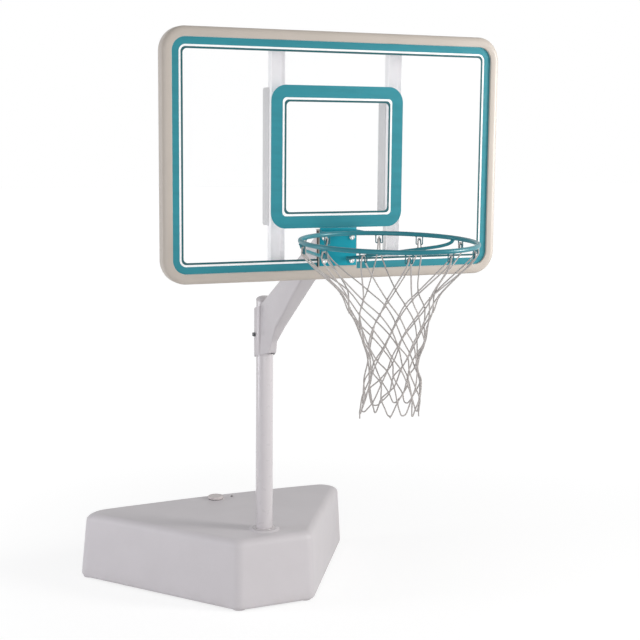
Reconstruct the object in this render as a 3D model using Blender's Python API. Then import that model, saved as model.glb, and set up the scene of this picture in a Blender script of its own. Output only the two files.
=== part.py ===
"""Poolside basketball hoop, built piece by piece.

Metres, +Z up. The pole's axis is the world Z axis and the floor is z = 0. The player stands
on the -Y side, so the board faces -Y and the ballast tank spreads out behind it towards +Y.
"""
import math

import bmesh
import bpy
from mathutils import Matrix, Vector

# Shared clearances and overruns
GAP = 0.0003
OVERRUN = 0.004
BORE_CLEARANCE = 0.0004

# Ballast tank
TANK_FRONT_HALF = 0.137
TANK_REAR_HALF = 0.538
TANK_FRONT = 0.1055
TANK_REAR = 0.4835
TANK_HEIGHT = 0.2295
TANK_WALL = 0.005
TANK_DRAFT = 0.009
TANK_CORNER_RADIUS = 0.040
TANK_DECK_RADIUS = 0.028
TANK_BOTTOM_RADIUS = 0.012
TANK_TURN = math.radians(1.66)
DECK_RISE = 0.0015
DECK_CROWN = 0.0075
FOOT_HEIGHT = 0.004
FOOT_RADIUS = 0.022
FOOT_INSET = 0.034
POLE_PAD_RADIUS = 0.048
VENT_RADIUS = 0.0025
VENT_X = 0.048
VENT_Y = 0.4095
BALLAST_DEPTH = 0.075

# Socket for the pole, with its split bushing
SOCKET_FLOOR = 0.012
BUSH_WALL = 0.003
BUSH_DEPTH = 0.070
BUSH_FLANGE_RADIUS = 0.0390
BUSH_FLANGE_THICKNESS = 0.0024
BUSH_SLOT = 0.006
BUSH_SLOT_ANGLE = math.radians(115)
SOCKET_BOSS_RADIUS = 0.0465
SOCKET_BOSS_RISE = 0.0045

# Fill mouth, screw cap and gasket
MOUTH_RADIUS = 0.0200
MOUTH_X = -0.0172
MOUTH_Y = 0.403
MOUTH_SEAT_RADIUS = 0.0300
MOUTH_SEAT_RISE = 0.0012
GASKET_THICKNESS = 0.0016
GASKET_WIDTH = 0.0060
CAP_RADIUS = 0.0280
CAP_HEIGHT = 0.0100
CAP_EDGE_RADIUS = 0.0045
CAP_PLUG_DEPTH = 0.0160
CAP_PLUG_WALL = 0.0030
CAP_LOBES = 12
CAP_LOBE_DEPTH = 0.0012

# Pole
POLE_RADIUS = 0.028575
POLE_WALL = 0.0020
POLE_LENGTH = 0.992
FOOT_PLUG_FLANGE = 0.0050
FOOT_PLUG_DEPTH = 0.022
POLE_CAP_DOME = 0.0150
POLE_CAP_LIP = 0.0006
POLE_CAP_INSERT = 0.018

# Sleeve that slides on the pole, and its lock screw
SLEEVE_BELOW_POLE_TOP = 0.0235
SLEEVE_LENGTH = 0.1596
SLEEVE_RADIUS = 0.0350
SLEEVE_SHEET = 0.0030
SLEEVE_FRONT = 0.0239
SLEEVE_TOP_SLOPE_SHARE = 0.425
SLEEVE_BOTTOM_SLOPE_SHARE = 0.28
SADDLE_LENGTH = 0.118
SADDLE_FROM_TOP = 0.018
LOCK_SCREW_RADIUS = 0.0040
LOCK_HEAD_ACROSS = 0.0120
LOCK_HEAD_THICKNESS = 0.0070
LOCK_FROM_TOP = 0.0880

# Board: face to pole axis, and the height of the frame above the sleeve
BOARD_REACH = 0.5595
BOARD_ABOVE_SLEEVE = 0.1524
PRINT_WIDTH = 0.985
PRINT_CORNER_RADIUS = 0.040
PANEL_THICKNESS = 0.0050
PANEL_TUCK = 0.0100
FILM_THICKNESS = 0.0004
BORDER_WIDTH = 0.0205
BORDER_LINE_GAP = 0.0055
LINE_WIDTH = 0.0050
TARGET_WIDTH = 0.4095
TARGET_HEIGHT = 0.3995
TARGET_BELOW_PRINT_TOP = 0.12185
TARGET_ABOVE_PAD = 0.00405
TARGET_BAND = 0.0345
TARGET_CORNER_RADIUS = 0.045
TARGET_LINE_GAP = 0.0060

# Moulded frame round the board, with the pad that carries the rim
FRAME_MARGIN = 0.028
FRAME_PROUD = 0.006
FRAME_DEPTH = 0.035
FRAME_EDGE_RADIUS = 0.006
PAD_HALF = 0.0645
PAD_HEIGHT = 0.1438
PAD_CORNER_RADIUS = 0.006
PAD_NOTCH_GAP = 0.003

# Uprights behind the panel
UPRIGHT_SPACING = 0.363
UPRIGHT_WIDTH = 0.043
UPRIGHT_SHEET = 0.0020
UPRIGHT_TAB = 0.0150
STIFFENER_LENGTH = 0.384
STIFFENER_DEPTH = 0.034
STIFFENER_LAP = 0.013
STIFFENER_END_RADIUS = 0.014
TAB_SCREW_RADIUS = 0.0022
TAB_SCREW_LENGTH = 0.012
SCREW_HEAD_SHARE = 2.1
SCREW_HEAD_HEIGHT_SHARE = 1.1
SCREW_HEAD_TOP_SHARE = 0.75

# Arm from the sleeve up to the board
ARM_SHEET = 0.0030
ARM_TOE_HALF = 0.0140
ARM_TOE_Y = 0.0665
ARM_KNEE_HALF = 0.0100
ARM_KNEE_Y = 0.0840
ARM_KNEE_ABOVE_BOTTOM = 0.0570
ARM_MID_HALF = 0.0190
ARM_MID_Y = 0.1385
ARM_MID_ABOVE_BOTTOM = 0.1135
ARM_ELBOW_HALF = 0.0272
ARM_ELBOW_BEHIND_BOARD = 0.2080
ARM_ELBOW_BELOW_FRAME = 0.0289
ARM_END_HALF = 0.0285
ARM_TOP_HALF = 0.0340
ARM_BACK_STATION_SHARE = 0.62
MOUNT_PLATE_THICKNESS = 0.0030

# Rim: plate with a folded flange, ring, braces, hooks
RIM_PLATE_HALF = 0.0572
RIM_PLATE_HEIGHT = 0.1030
RIM_PLATE_BELOW_PAD = 0.0018
RIM_SHEET = 0.0030
RIM_FLANGE_FRONT_HALF = 0.0660
RIM_INSIDE = 0.4572
RIM_ROD = 0.0127
RIM_BEHIND_TO_BOARD = 0.0951
RIM_DROOP = math.radians(1.58)
RIM_BOLT_SPACING_X = 0.0870
RIM_BOLT_SPACING_Z = 0.0670
RIM_BOLT_BELOW_CENTRE = 0.0040
RIM_BOLT_RADIUS = 0.0040
RIM_BOLT_HEAD_ACROSS = 0.0115
RIM_BOLT_HEAD = 0.0055
RIM_BOLT_FLANGE_RADIUS = 0.0080
RIM_BOLT_FLANGE = 0.0016
RIM_WASHER_RADIUS = 0.0080
RIM_WASHER_THICKNESS = 0.0016
RIM_NUT_ACROSS = 0.0130
RIM_NUT_THICKNESS = 0.0065
RIM_BOLT_TAIL = 0.0040
BRACE_RADIUS = 0.0046
BRACE_FOOT_X = 0.030
BRACE_FOOT_ABOVE_PLATE = 0.020
BRACE_RISE_SHARE = 0.64
BRACE_BEND_SHARE = 0.80
BRACE_ANGLE = math.radians(15)
BRACE_WELD = 0.0016

# Net and its hooks, whose angles are measured from the front of the ring to either side
HOOK_ANGLES = tuple(math.radians(angle) for angle in (14.5, 42.5, 71, 97, 132, 160))
HOOK_WIRE = 0.0015
HOOK_HALF = 0.0095
HOOK_DEPTH = 0.0205
HOOK_TURN = 0.0027
HOOK_HUMP_TOP = 0.0076
NET_CORD = 0.0020
NET_CLEARANCE = 0.0004
NET_DROP = 0.024
NET_LENGTH = 0.457
KNOT_REACH_SHARE = 1.05
KNOT_SPARE_SHARE = 0.15
KNOT_WIDEST_ANGLE = math.radians(162)
NET_ROW_SHARES = (
    (0.215, 0.665), (0.310, 0.545), (0.405, 0.465), (0.500, 0.400), (0.595, 0.340),
    (0.690, 0.295), (0.790, 0.315), (0.895, 0.338), (1.000, 0.345),
)

# How finely round shapes are faceted
TUBE_SIDES = 36
SMALL_SIDES = 16
WIRE_SIDES = 5
CORD_SIDES = 4
CORNER_STEPS = 6
TANK_CORNER_STEPS = 5
EDGE_STEPS = (2, 4, 8, 4)
DECK_SHARES = (0.75, 0.50, 0.25)
CAP_LOBE_STEPS = 3
RING_STEPS = 72
RING_SIDES = 10
HEX_STEPS = 12

# Places worked out from the sizes above
BUSH_INNER = POLE_RADIUS + BORE_CLEARANCE
BUSH_OUTER = BUSH_INNER + BUSH_WALL
SOCKET_RADIUS = BUSH_OUTER + GAP
POLE_BOTTOM_Z = SOCKET_FLOOR + GAP + FOOT_PLUG_FLANGE + GAP
POLE_TOP_Z = POLE_BOTTOM_Z + POLE_LENGTH
SLEEVE_TOP_Z = POLE_TOP_Z - SLEEVE_BELOW_POLE_TOP
SLEEVE_BOTTOM_Z = SLEEVE_TOP_Z - SLEEVE_LENGTH
LOCK_Z = SLEEVE_TOP_Z - LOCK_FROM_TOP

FACE_Y = -BOARD_REACH
FRAME_FRONT_Y = FACE_Y - FRAME_PROUD
FRAME_BACK_Y = FRAME_FRONT_Y + FRAME_DEPTH
PANEL_BACK_Y = FACE_Y + PANEL_THICKNESS
FRAME_BOTTOM_Z = SLEEVE_TOP_Z + BOARD_ABOVE_SLEEVE
PAD_TOP_Z = FRAME_BOTTOM_Z + PAD_HEIGHT
TARGET_Z = PAD_TOP_Z + TARGET_ABOVE_PAD + TARGET_HEIGHT / 2
PRINT_BOTTOM_Z = FRAME_BOTTOM_Z + FRAME_MARGIN
PRINT_HEIGHT = TARGET_Z + TARGET_HEIGHT / 2 + TARGET_BELOW_PRINT_TOP - PRINT_BOTTOM_Z
BOARD_Z = PRINT_BOTTOM_Z + PRINT_HEIGHT / 2
BODY_OFFSET = PANEL_TUCK + GAP
MOUNT_PLATE_Y = FRAME_BACK_Y + GAP + MOUNT_PLATE_THICKNESS

RIM_PLATE_TOP_Z = PAD_TOP_Z - RIM_PLATE_BELOW_PAD
RIM_PLATE_Z = RIM_PLATE_TOP_Z - RIM_PLATE_HEIGHT / 2
RIM_PLATE_BACK_Y = FRAME_FRONT_Y - GAP
RIM_PLATE_FRONT_Y = RIM_PLATE_BACK_Y - RIM_SHEET
RIM_RADIUS = (RIM_INSIDE + RIM_ROD) / 2
RIM_CENTRE_Y = FACE_Y - RIM_BEHIND_TO_BOARD - RIM_RADIUS
RIM_FLANGE_Z = RIM_PLATE_TOP_Z - RIM_SHEET / 2
RIM_CENTRE_Z = RIM_FLANGE_Z - math.tan(RIM_DROOP) * (RIM_PLATE_FRONT_Y - RIM_CENTRE_Y)
RIM_BOLT_Z = RIM_PLATE_Z - RIM_BOLT_BELOW_CENTRE

LIGHT_GREY = (0.74, 0.72, 0.72)
MOULDED_GREY = (0.56, 0.53, 0.50)
TEAL = (0.05, 0.33, 0.40)
BRIGHT_TEAL = (0.02, 0.38, 0.48)


# Scene, materials and objects
def clear_scene():
    for item in list(bpy.data.objects):
        bpy.data.objects.remove(item, do_unlink=True)


def make_material(name, colour, roughness, metallic=0.0, alpha=1.0):
    material = bpy.data.materials.new(name)
    material.use_nodes = True
    shader = material.node_tree.nodes["Principled BSDF"]
    shader.inputs["Base Color"].default_value = (*colour, 1.0)
    shader.inputs["Roughness"].default_value = roughness
    shader.inputs["Metallic"].default_value = metallic
    shader.inputs["Alpha"].default_value = alpha
    material.diffuse_color = (*colour, alpha)
    return material


def make_axis(name, place, parent=None):
    """An empty on a joint's axis, which carries the pieces that move about it."""
    axis = bpy.data.objects.new(name, None)
    bpy.context.collection.objects.link(axis)
    axis.parent = parent
    base = world_place(parent)
    axis.location = Vector(place) - base
    return axis


def world_place(item):
    place = Vector((0, 0, 0))
    while item is not None:
        place += item.location
        item = item.parent
    return place


def add_piece(name, mesh_bm, material, parent=None, origin=None):
    """Turn world-space geometry into a named object whose origin is where it turns or sits."""
    bmesh.ops.recalc_face_normals(mesh_bm, faces=mesh_bm.faces)
    mesh = bpy.data.meshes.new(name)
    mesh_bm.to_mesh(mesh)
    mesh_bm.free()
    home = Vector(origin) if origin is not None else world_place(parent)
    mesh.transform(Matrix.Translation(-home))
    mesh.shade_smooth()
    mesh.set_sharp_from_angle(angle=math.radians(35))
    piece = bpy.data.objects.new(name, mesh)
    bpy.context.collection.objects.link(piece)
    piece.parent = parent
    piece.location = home - world_place(parent)
    if material is not None:
        mesh.materials.append(material)
    return piece


def add_cutter(name, mesh_bm, parent=None):
    cutter = add_piece(name, mesh_bm, None, parent)
    cutter.hide_render = True
    cutter.display_type = "WIRE"
    return cutter


def apply_boolean(piece, other, operation):
    step = piece.modifiers.new(other.name, "BOOLEAN")
    step.object = other
    step.operation = operation
    step.solver = "EXACT"


def cut(piece, cutter):
    apply_boolean(piece, cutter, "DIFFERENCE")


def join(piece, cutter):
    apply_boolean(piece, cutter, "UNION")


# Shapes
def bridge(bm, first, second, closed=True):
    count = len(first)
    for index in range(count if closed else count - 1):
        after = (index + 1) % count
        bm.faces.new((first[index], first[after], second[after], second[index]))


def loft(rings, caps=True):
    """A closed skin through rings of points that all have the same count."""
    bm = bmesh.new()
    loops = [[bm.verts.new(point) for point in ring] for ring in rings]
    for first, second in zip(loops, loops[1:]):
        bridge(bm, first, second)
    if caps:
        bm.faces.new(list(reversed(loops[0])))
        bm.faces.new(loops[-1])
    else:
        bridge(bm, loops[-1], loops[0])
    return bm


def merge(*parts):
    """Several separate solids in one mesh."""
    bm = bmesh.new()
    for part in parts:
        mesh = bpy.data.meshes.new("part")
        part.to_mesh(mesh)
        part.free()
        bm.from_mesh(mesh)
        bpy.data.meshes.remove(mesh)
    return bm


def moved(bm, matrix):
    bmesh.ops.transform(bm, matrix=matrix, verts=bm.verts)
    return bm


def turned(profile, sides, slot=0.0, slot_angle=0.0):
    """Turn a closed (radius, z) profile about Z, all the way or with a slot left open."""
    open_turn = slot > 0
    start = slot_angle + slot / 2
    span = math.tau - slot
    steps = sides + 1 if open_turn else sides
    rings = []
    for step in range(steps):
        angle = start + span * step / sides
        rings.append([(radius * math.cos(angle), radius * math.sin(angle), z) for radius, z in profile])
    return loft(rings, caps=open_turn)


def cylinder(radius, low, high, sides=SMALL_SIDES):
    rings = []
    for z in (low, high):
        rings.append([polar(radius, math.tau * step / sides, z) for step in range(sides)])
    return loft(rings)


def polar(radius, angle, z=0.0):
    return Vector((radius * math.cos(angle), radius * math.sin(angle), z))


def polygon_rod(across_flats, low, high, sides=6):
    radius = across_flats / 2 / math.cos(math.pi / sides)
    rings = []
    for z in (low, high):
        rings.append([polar(radius, math.tau * (step + 0.5) / sides, z) for step in range(sides)])
    return loft(rings)


def box(low, high):
    rings = []
    for z in (low[2], high[2]):
        rings.append([(low[0], low[1], z), (high[0], low[1], z), (high[0], high[1], z), (low[0], high[1], z)])
    return loft(rings)


def rounded_corners(corners, radius, steps=CORNER_STEPS):
    """Replace each corner of a convex outline, listed anticlockwise, by an arc."""
    points = []
    count = len(corners)
    for index in range(count):
        here = Vector(corners[index])
        back = (Vector(corners[index - 1]) - here).normalized()
        ahead = (Vector(corners[(index + 1) % count]) - here).normalized()
        half = back.angle(ahead) / 2
        centre = here + (back + ahead).normalized() * (radius / math.sin(half))
        start = here + back * (radius / math.tan(half)) - centre
        sweep = math.pi - 2 * half
        for step in range(steps + 1):
            angle = sweep * step / steps
            turn = Matrix.Rotation(angle, 2)
            points.append(centre + turn @ start)
    return points


def inset_outline(corners, distance):
    """Move each edge of a convex anticlockwise outline inwards by a distance."""
    lines = []
    count = len(corners)
    for index in range(count):
        here = Vector(corners[index])
        along = (Vector(corners[(index + 1) % count]) - here).normalized()
        inward = Vector((-along.y, along.x))
        lines.append((here + inward * distance, along))
    result = []
    for index in range(count):
        place, along = lines[index - 1]
        other, direction = lines[index]
        cross = along.x * direction.y - along.y * direction.x
        offset = other - place
        share = (offset.x * direction.y - offset.y * direction.x) / cross
        result.append(place + along * share)
    return result


def rectangle(width, height, centre=0.0):
    across = width / 2
    return [
        (-across, centre - height / 2), (across, centre - height / 2),
        (across, centre + height / 2), (-across, centre + height / 2),
    ]


def board_outline(width, height, radius, centre=0.0):
    """A rounded rectangle in the board's plane, as (x, z) points."""
    return rounded_corners(rectangle(width, height, BOARD_Z + centre), radius)


def board_plate(outline, front, back):
    """Extrude an (x, z) outline from the front y to the back y."""
    return loft([[(x, y, z) for x, z in outline] for y in (front, back)])


def board_ring(outer, inner, front, back):
    """A flat frame between two (x, z) outlines with the same number of points."""
    corners = [(outer, front), (inner, front), (inner, back), (outer, back)]
    return loft([[(x, y, z) for x, z in outline] for outline, y in corners], caps=False)


def tube(points, radius, sides, closed=False):
    """A round rod along a path, with flat ends unless the path is closed."""
    points = [Vector(point) for point in points]
    count = len(points)
    rings = []
    side = None
    for index, point in enumerate(points):
        before = points[index - 1] if closed or index else point
        after = points[(index + 1) % count] if closed or index < count - 1 else point
        along = (after - before).normalized()
        if side is None:
            side = along.orthogonal().normalized()
        side = (side - along * side.dot(along)).normalized()
        other = along.cross(side)
        rings.append([
            point + (side * math.cos(angle) + other * math.sin(angle)) * radius
            for angle in (math.tau * step / sides for step in range(sides))
        ])
    return loft(rings, caps=not closed)


def arc_points(centre, radius, start, end, steps):
    """Points of an arc in a plane, as pairs."""
    points = []
    for step in range(steps + 1):
        angle = start + (end - start) * step / steps
        points.append((centre[0] + radius * math.cos(angle), centre[1] + radius * math.sin(angle)))
    return points


def towards(direction):
    """Rotation that lays +Z along a direction."""
    return Vector(direction).to_track_quat("Z", "Y").to_matrix().to_4x4()


def at(place, direction=(0, 0, 1)):
    return Matrix.Translation(Vector(place)) @ towards(direction)


# Ballast tank
def tank_corners():
    return [
        (-TANK_FRONT_HALF, -TANK_FRONT), (TANK_FRONT_HALF, -TANK_FRONT),
        (TANK_REAR_HALF, TANK_REAR), (-TANK_REAR_HALF, TANK_REAR),
    ]


def deck_height(x, y):
    """The deck rises towards the back and is crowned across its width, so water runs off."""
    back = (y + TANK_FRONT) / (TANK_REAR + TANK_FRONT)
    across = x / TANK_REAR_HALF
    return TANK_HEIGHT + DECK_RISE * back + DECK_CROWN * (1 - across ** 2)


def tank_outline(inset, radius, share=1.0):
    """The tank's plan, with points along its straight edges too, shrunk towards its middle."""
    corners = rounded_corners(inset_outline(tank_corners(), inset), radius, TANK_CORNER_STEPS)
    per_corner = TANK_CORNER_STEPS + 1
    points = []
    for index, steps in enumerate(EDGE_STEPS):
        points += corners[index * per_corner:(index + 1) * per_corner]
        start = points[-1]
        finish = corners[(index + 1) * per_corner % len(corners)]
        points += [start.lerp(finish, step / steps) for step in range(1, steps)]
    middle = Vector((0, (TANK_REAR - TANK_FRONT) / 2))
    return [middle.lerp(point, share) for point in points]


def tank_ring(inset, radius, height_below_deck=None, z=None, share=1.0):
    outline = tank_outline(inset, radius, share)
    if z is not None:
        return [(x, y, z) for x, y in outline]
    return [(x, y, deck_height(x, y) - height_below_deck) for x, y in outline]


def tank_skin(wall, steps):
    """The tank's outer skin, or its hollow when a wall thickness is given."""
    corner = TANK_CORNER_RADIUS - wall
    bottom = TANK_BOTTOM_RADIUS
    top = TANK_DECK_RADIUS - wall
    low = FOOT_HEIGHT + wall
    rings = []
    for step in range(3):
        angle = math.pi / 2 * step / 2
        inset = wall + bottom * (1 - math.sin(angle))
        rings.append(tank_ring(inset, corner, z=low + bottom * (1 - math.cos(angle))))
    for step in range(steps + 1):
        angle = math.pi / 2 * step / steps
        inset = wall + TANK_DRAFT + top * (1 - math.cos(angle))
        below = wall + top * (1 - math.sin(angle))
        rings.append(tank_ring(inset, corner, height_below_deck=below))
    inset = wall + TANK_DRAFT + top
    for share in DECK_SHARES:
        rings.append(tank_ring(inset, corner, height_below_deck=wall, share=share))
    return loft(rings)


def build_tank(material, base):
    tank = add_piece("base_tank", tank_skin(0, TANK_CORNER_STEPS), material, base)
    boss_top = deck_height(0, 0) + SOCKET_BOSS_RISE
    seat_top = deck_height(MOUTH_X, MOUTH_Y) + MOUTH_SEAT_RISE
    boss_low = FOOT_HEIGHT + OVERRUN

    hollow = add_cutter("tank_hollow", tank_skin(TANK_WALL, 2), base)
    column = cylinder(SOCKET_RADIUS + TANK_WALL, 0, boss_top, TUBE_SIDES)
    column = add_cutter("socket_column", column, base)
    cut(hollow, column)
    cut(tank, hollow)

    boss_profile = [
        (0, boss_top - TANK_WALL), (SOCKET_BOSS_RADIUS, boss_top - TANK_WALL),
        (SOCKET_BOSS_RADIUS, boss_top - SOCKET_BOSS_RISE / 3),
        (SOCKET_BOSS_RADIUS - SOCKET_BOSS_RISE / 3, boss_top), (0, boss_top),
    ]
    raised = [
        solid_turned(boss_profile, TUBE_SIDES),
        moved(cylinder(MOUTH_SEAT_RADIUS, seat_top - TANK_WALL, seat_top, TUBE_SIDES),
              Matrix.Translation((MOUTH_X, MOUTH_Y, 0))),
        cylinder(POLE_PAD_RADIUS, 0, boss_low, TUBE_SIDES),
    ]
    for x, y in inset_outline(tank_corners(), FOOT_INSET):
        raised.append(moved(cylinder(FOOT_RADIUS, 0, boss_low), Matrix.Translation((x, y, 0))))
    join(tank, add_cutter("tank_bosses", merge(*raised), base))

    holes = [
        cylinder(SOCKET_RADIUS, SOCKET_FLOOR, boss_top + OVERRUN, TUBE_SIDES),
        moved(cylinder(MOUTH_RADIUS, seat_top - 2 * TANK_WALL, seat_top + OVERRUN, TUBE_SIDES),
              Matrix.Translation((MOUTH_X, MOUTH_Y, 0))),
        moved(cylinder(VENT_RADIUS, seat_top - 4 * TANK_WALL, seat_top + OVERRUN, HEX_STEPS),
              Matrix.Translation((VENT_X, VENT_Y, 0))),
    ]
    cut(tank, add_cutter("tank_holes", merge(*holes), base))
    return boss_top, seat_top


def solid_turned(profile, sides):
    """Turn an (r, z) outline that starts and ends on the axis into a closed solid."""
    rings = []
    for radius, z in profile[1:-1]:
        rings.append([polar(radius, math.tau * step / sides, z) for step in range(sides)])
    return loft(rings)


def build_ballast(material, base):
    """Water in the bottom of the tank, which keeps the hoop on its feet."""
    wall = TANK_WALL + GAP
    corner = TANK_CORNER_RADIUS - wall
    low = FOOT_HEIGHT + wall
    rings = [
        tank_ring(wall + TANK_BOTTOM_RADIUS, corner, z=low),
        tank_ring(wall + TANK_BOTTOM_RADIUS, corner, z=low + TANK_BOTTOM_RADIUS),
        tank_ring(wall + TANK_BOTTOM_RADIUS, corner, z=low + BALLAST_DEPTH),
    ]
    water = add_piece("ballast_water", loft(rings), material, base)
    column = cylinder(SOCKET_RADIUS + wall, 0, low + BALLAST_DEPTH + OVERRUN, TUBE_SIDES)
    cut(water, add_cutter("ballast_column", column, base))


# Bushing, cap and gasket
def build_bushing(material, boss_top, base):
    low = boss_top - BUSH_DEPTH
    seat = boss_top + GAP
    top = seat + BUSH_FLANGE_THICKNESS
    profile = [
        (BUSH_INNER, low), (BUSH_OUTER, low), (BUSH_OUTER, seat), (BUSH_FLANGE_RADIUS, seat),
        (BUSH_FLANGE_RADIUS, top - BUSH_FLANGE_THICKNESS / 3),
        (BUSH_FLANGE_RADIUS - BUSH_FLANGE_THICKNESS / 3, top), (BUSH_INNER, top),
    ]
    bush = turned(profile, TUBE_SIDES, BUSH_SLOT / BUSH_OUTER, BUSH_SLOT_ANGLE)
    add_piece("pole_bushing", bush, material, base)


def cap_ring(radius, z, lobed):
    count = CAP_LOBES * CAP_LOBE_STEPS
    points = []
    for step in range(count):
        angle = math.tau * step / count
        dip = CAP_LOBE_DEPTH * (0.5 - 0.5 * math.cos(CAP_LOBES * angle)) if lobed else 0
        points.append(polar(radius - dip, angle, z))
    return points


def build_cap(cap_material, gasket_material, seat_top, axis):
    """A hollow screw plug with a scalloped grip, and the flat gasket that it squeezes."""
    place = Matrix.Translation((MOUTH_X, MOUTH_Y, 0))
    gasket_low = seat_top + GAP
    gasket_high = gasket_low + GASKET_THICKNESS
    inner = MOUTH_RADIUS + GAP
    outer = inner + GASKET_WIDTH
    gasket = [(inner, gasket_low), (outer, gasket_low), (outer, gasket_high), (inner, gasket_high)]
    add_piece("fill_gasket", moved(turned(gasket, SMALL_SIDES), place), gasket_material, axis)

    low = gasket_high + GAP
    top = low + CAP_HEIGHT
    plug = MOUTH_RADIUS - BORE_CLEARANCE
    bore = plug - CAP_PLUG_WALL
    rings = [
        cap_ring(bore, low - CAP_PLUG_DEPTH, False),
        cap_ring(plug, low - CAP_PLUG_DEPTH, False),
        cap_ring(plug, low, False),
        cap_ring(CAP_RADIUS, low, True),
    ]
    for step in range(4):
        angle = math.pi / 2 * step / 3
        radius = CAP_RADIUS - CAP_EDGE_RADIUS * (1 - math.cos(angle))
        rings.append(cap_ring(radius, top - CAP_EDGE_RADIUS * (1 - math.sin(angle)), True))
    rings.append(cap_ring(bore, top, False))
    rings.append(cap_ring(bore / 3, top, False))
    ceiling = top - CAP_PLUG_WALL
    bm = loft(rings)
    hollow = cylinder(bore - GAP, low - CAP_PLUG_DEPTH - OVERRUN, ceiling, TUBE_SIDES)
    cap = add_piece("fill_cap", moved(bm, place), cap_material, axis)
    cut(cap, add_cutter("cap_hollow", moved(hollow, place), axis))


# Pole
def build_pole(pole_material, plastic, axis):
    inner = POLE_RADIUS - POLE_WALL
    wall = [
        (inner, POLE_BOTTOM_Z), (POLE_RADIUS, POLE_BOTTOM_Z),
        (POLE_RADIUS, POLE_TOP_Z), (inner, POLE_TOP_Z),
    ]
    add_piece("pole_tube", turned(wall, TUBE_SIDES), pole_material, axis)

    plug = inner - GAP
    foot_low = SOCKET_FLOOR + GAP
    foot_flange = foot_low + FOOT_PLUG_FLANGE
    foot = [
        (0, foot_low), (POLE_RADIUS, foot_low), (POLE_RADIUS, foot_flange),
        (plug, foot_flange), (plug, foot_flange + FOOT_PLUG_DEPTH), (0, foot_flange + FOOT_PLUG_DEPTH),
    ]
    add_piece("pole_foot_plug", solid_turned(foot, TUBE_SIDES), plastic, axis)

    seat = POLE_TOP_Z + GAP
    cap = [(0, POLE_TOP_Z - POLE_CAP_INSERT), (plug, POLE_TOP_Z - POLE_CAP_INSERT), (plug, seat)]
    rim = POLE_RADIUS + POLE_CAP_LIP
    for step in range(TANK_CORNER_STEPS):
        angle = math.pi / 2 * step / TANK_CORNER_STEPS
        cap.append((rim * math.cos(angle), seat + POLE_CAP_DOME * math.sin(angle)))
    cap.append((0, seat + POLE_CAP_DOME))
    add_piece("pole_top_cap", solid_turned(cap, TUBE_SIDES), plastic, axis)


# Sleeve, saddle and lock screw
def sleeve_top(y):
    """The sleeve's ends are cut at slants that rise towards the board."""
    return SLEEVE_TOP_Z - SLEEVE_TOP_SLOPE_SHARE * y


def sleeve_bottom(y):
    return SLEEVE_BOTTOM_Z - SLEEVE_BOTTOM_SLOPE_SHARE * y


def sleeve_arc(radius):
    """Round the back of the pole, from one front edge of the sleeve to the other."""
    past = math.asin(SLEEVE_FRONT / radius)
    return arc_points((0, 0), radius, -past, math.pi + past, 36)


def build_sleeve(material, carriage):
    outer = SLEEVE_RADIUS
    path = sleeve_arc(outer) + list(reversed(sleeve_arc(outer - SLEEVE_SHEET)))
    rings = [[(x, y, edge(y)) for x, y in path] for edge in (sleeve_bottom, sleeve_top)]
    sleeve = add_piece("rear_sleeve", loft(rings), material, carriage)
    hole = moved(cylinder(LOCK_SCREW_RADIUS + GAP, 0, 2 * outer), at((0, 0, LOCK_Z), (-1, 0, 0)))
    cut(sleeve, add_cutter("lock_hole", hole, carriage))


def build_saddle(material, carriage):
    """The plastic ring in the sleeve that bears on the pole."""
    bearing = POLE_RADIUS + BORE_CLEARANCE
    outer = SLEEVE_RADIUS - SLEEVE_SHEET - GAP
    top = SLEEVE_TOP_Z - SADDLE_FROM_TOP
    low = top - SADDLE_LENGTH
    wall = [(bearing, low), (outer, low), (outer, top), (bearing, top)]
    saddle = add_piece("pole_saddle", turned(wall, TUBE_SIDES), material, carriage)
    hole = moved(cylinder(LOCK_SCREW_RADIUS + GAP, 0, 2 * outer), at((0, 0, LOCK_Z), (-1, 0, 0)))
    cut(saddle, add_cutter("saddle_hole", hole, carriage))


def build_lock_screw(material, axis):
    seat = SLEEVE_RADIUS + GAP
    tip = POLE_RADIUS + GAP
    shank = cylinder(LOCK_SCREW_RADIUS, tip, seat + LOCK_HEAD_THICKNESS / 2)
    head = polygon_rod(LOCK_HEAD_ACROSS, seat, seat + LOCK_HEAD_THICKNESS, 4)
    place = at((0, 0, LOCK_Z), (-1, 0, 0))
    screw = add_piece("lock_screw", moved(shank, place), material, axis)
    join(screw, add_cutter("lock_head", moved(head, place), axis))


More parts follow.
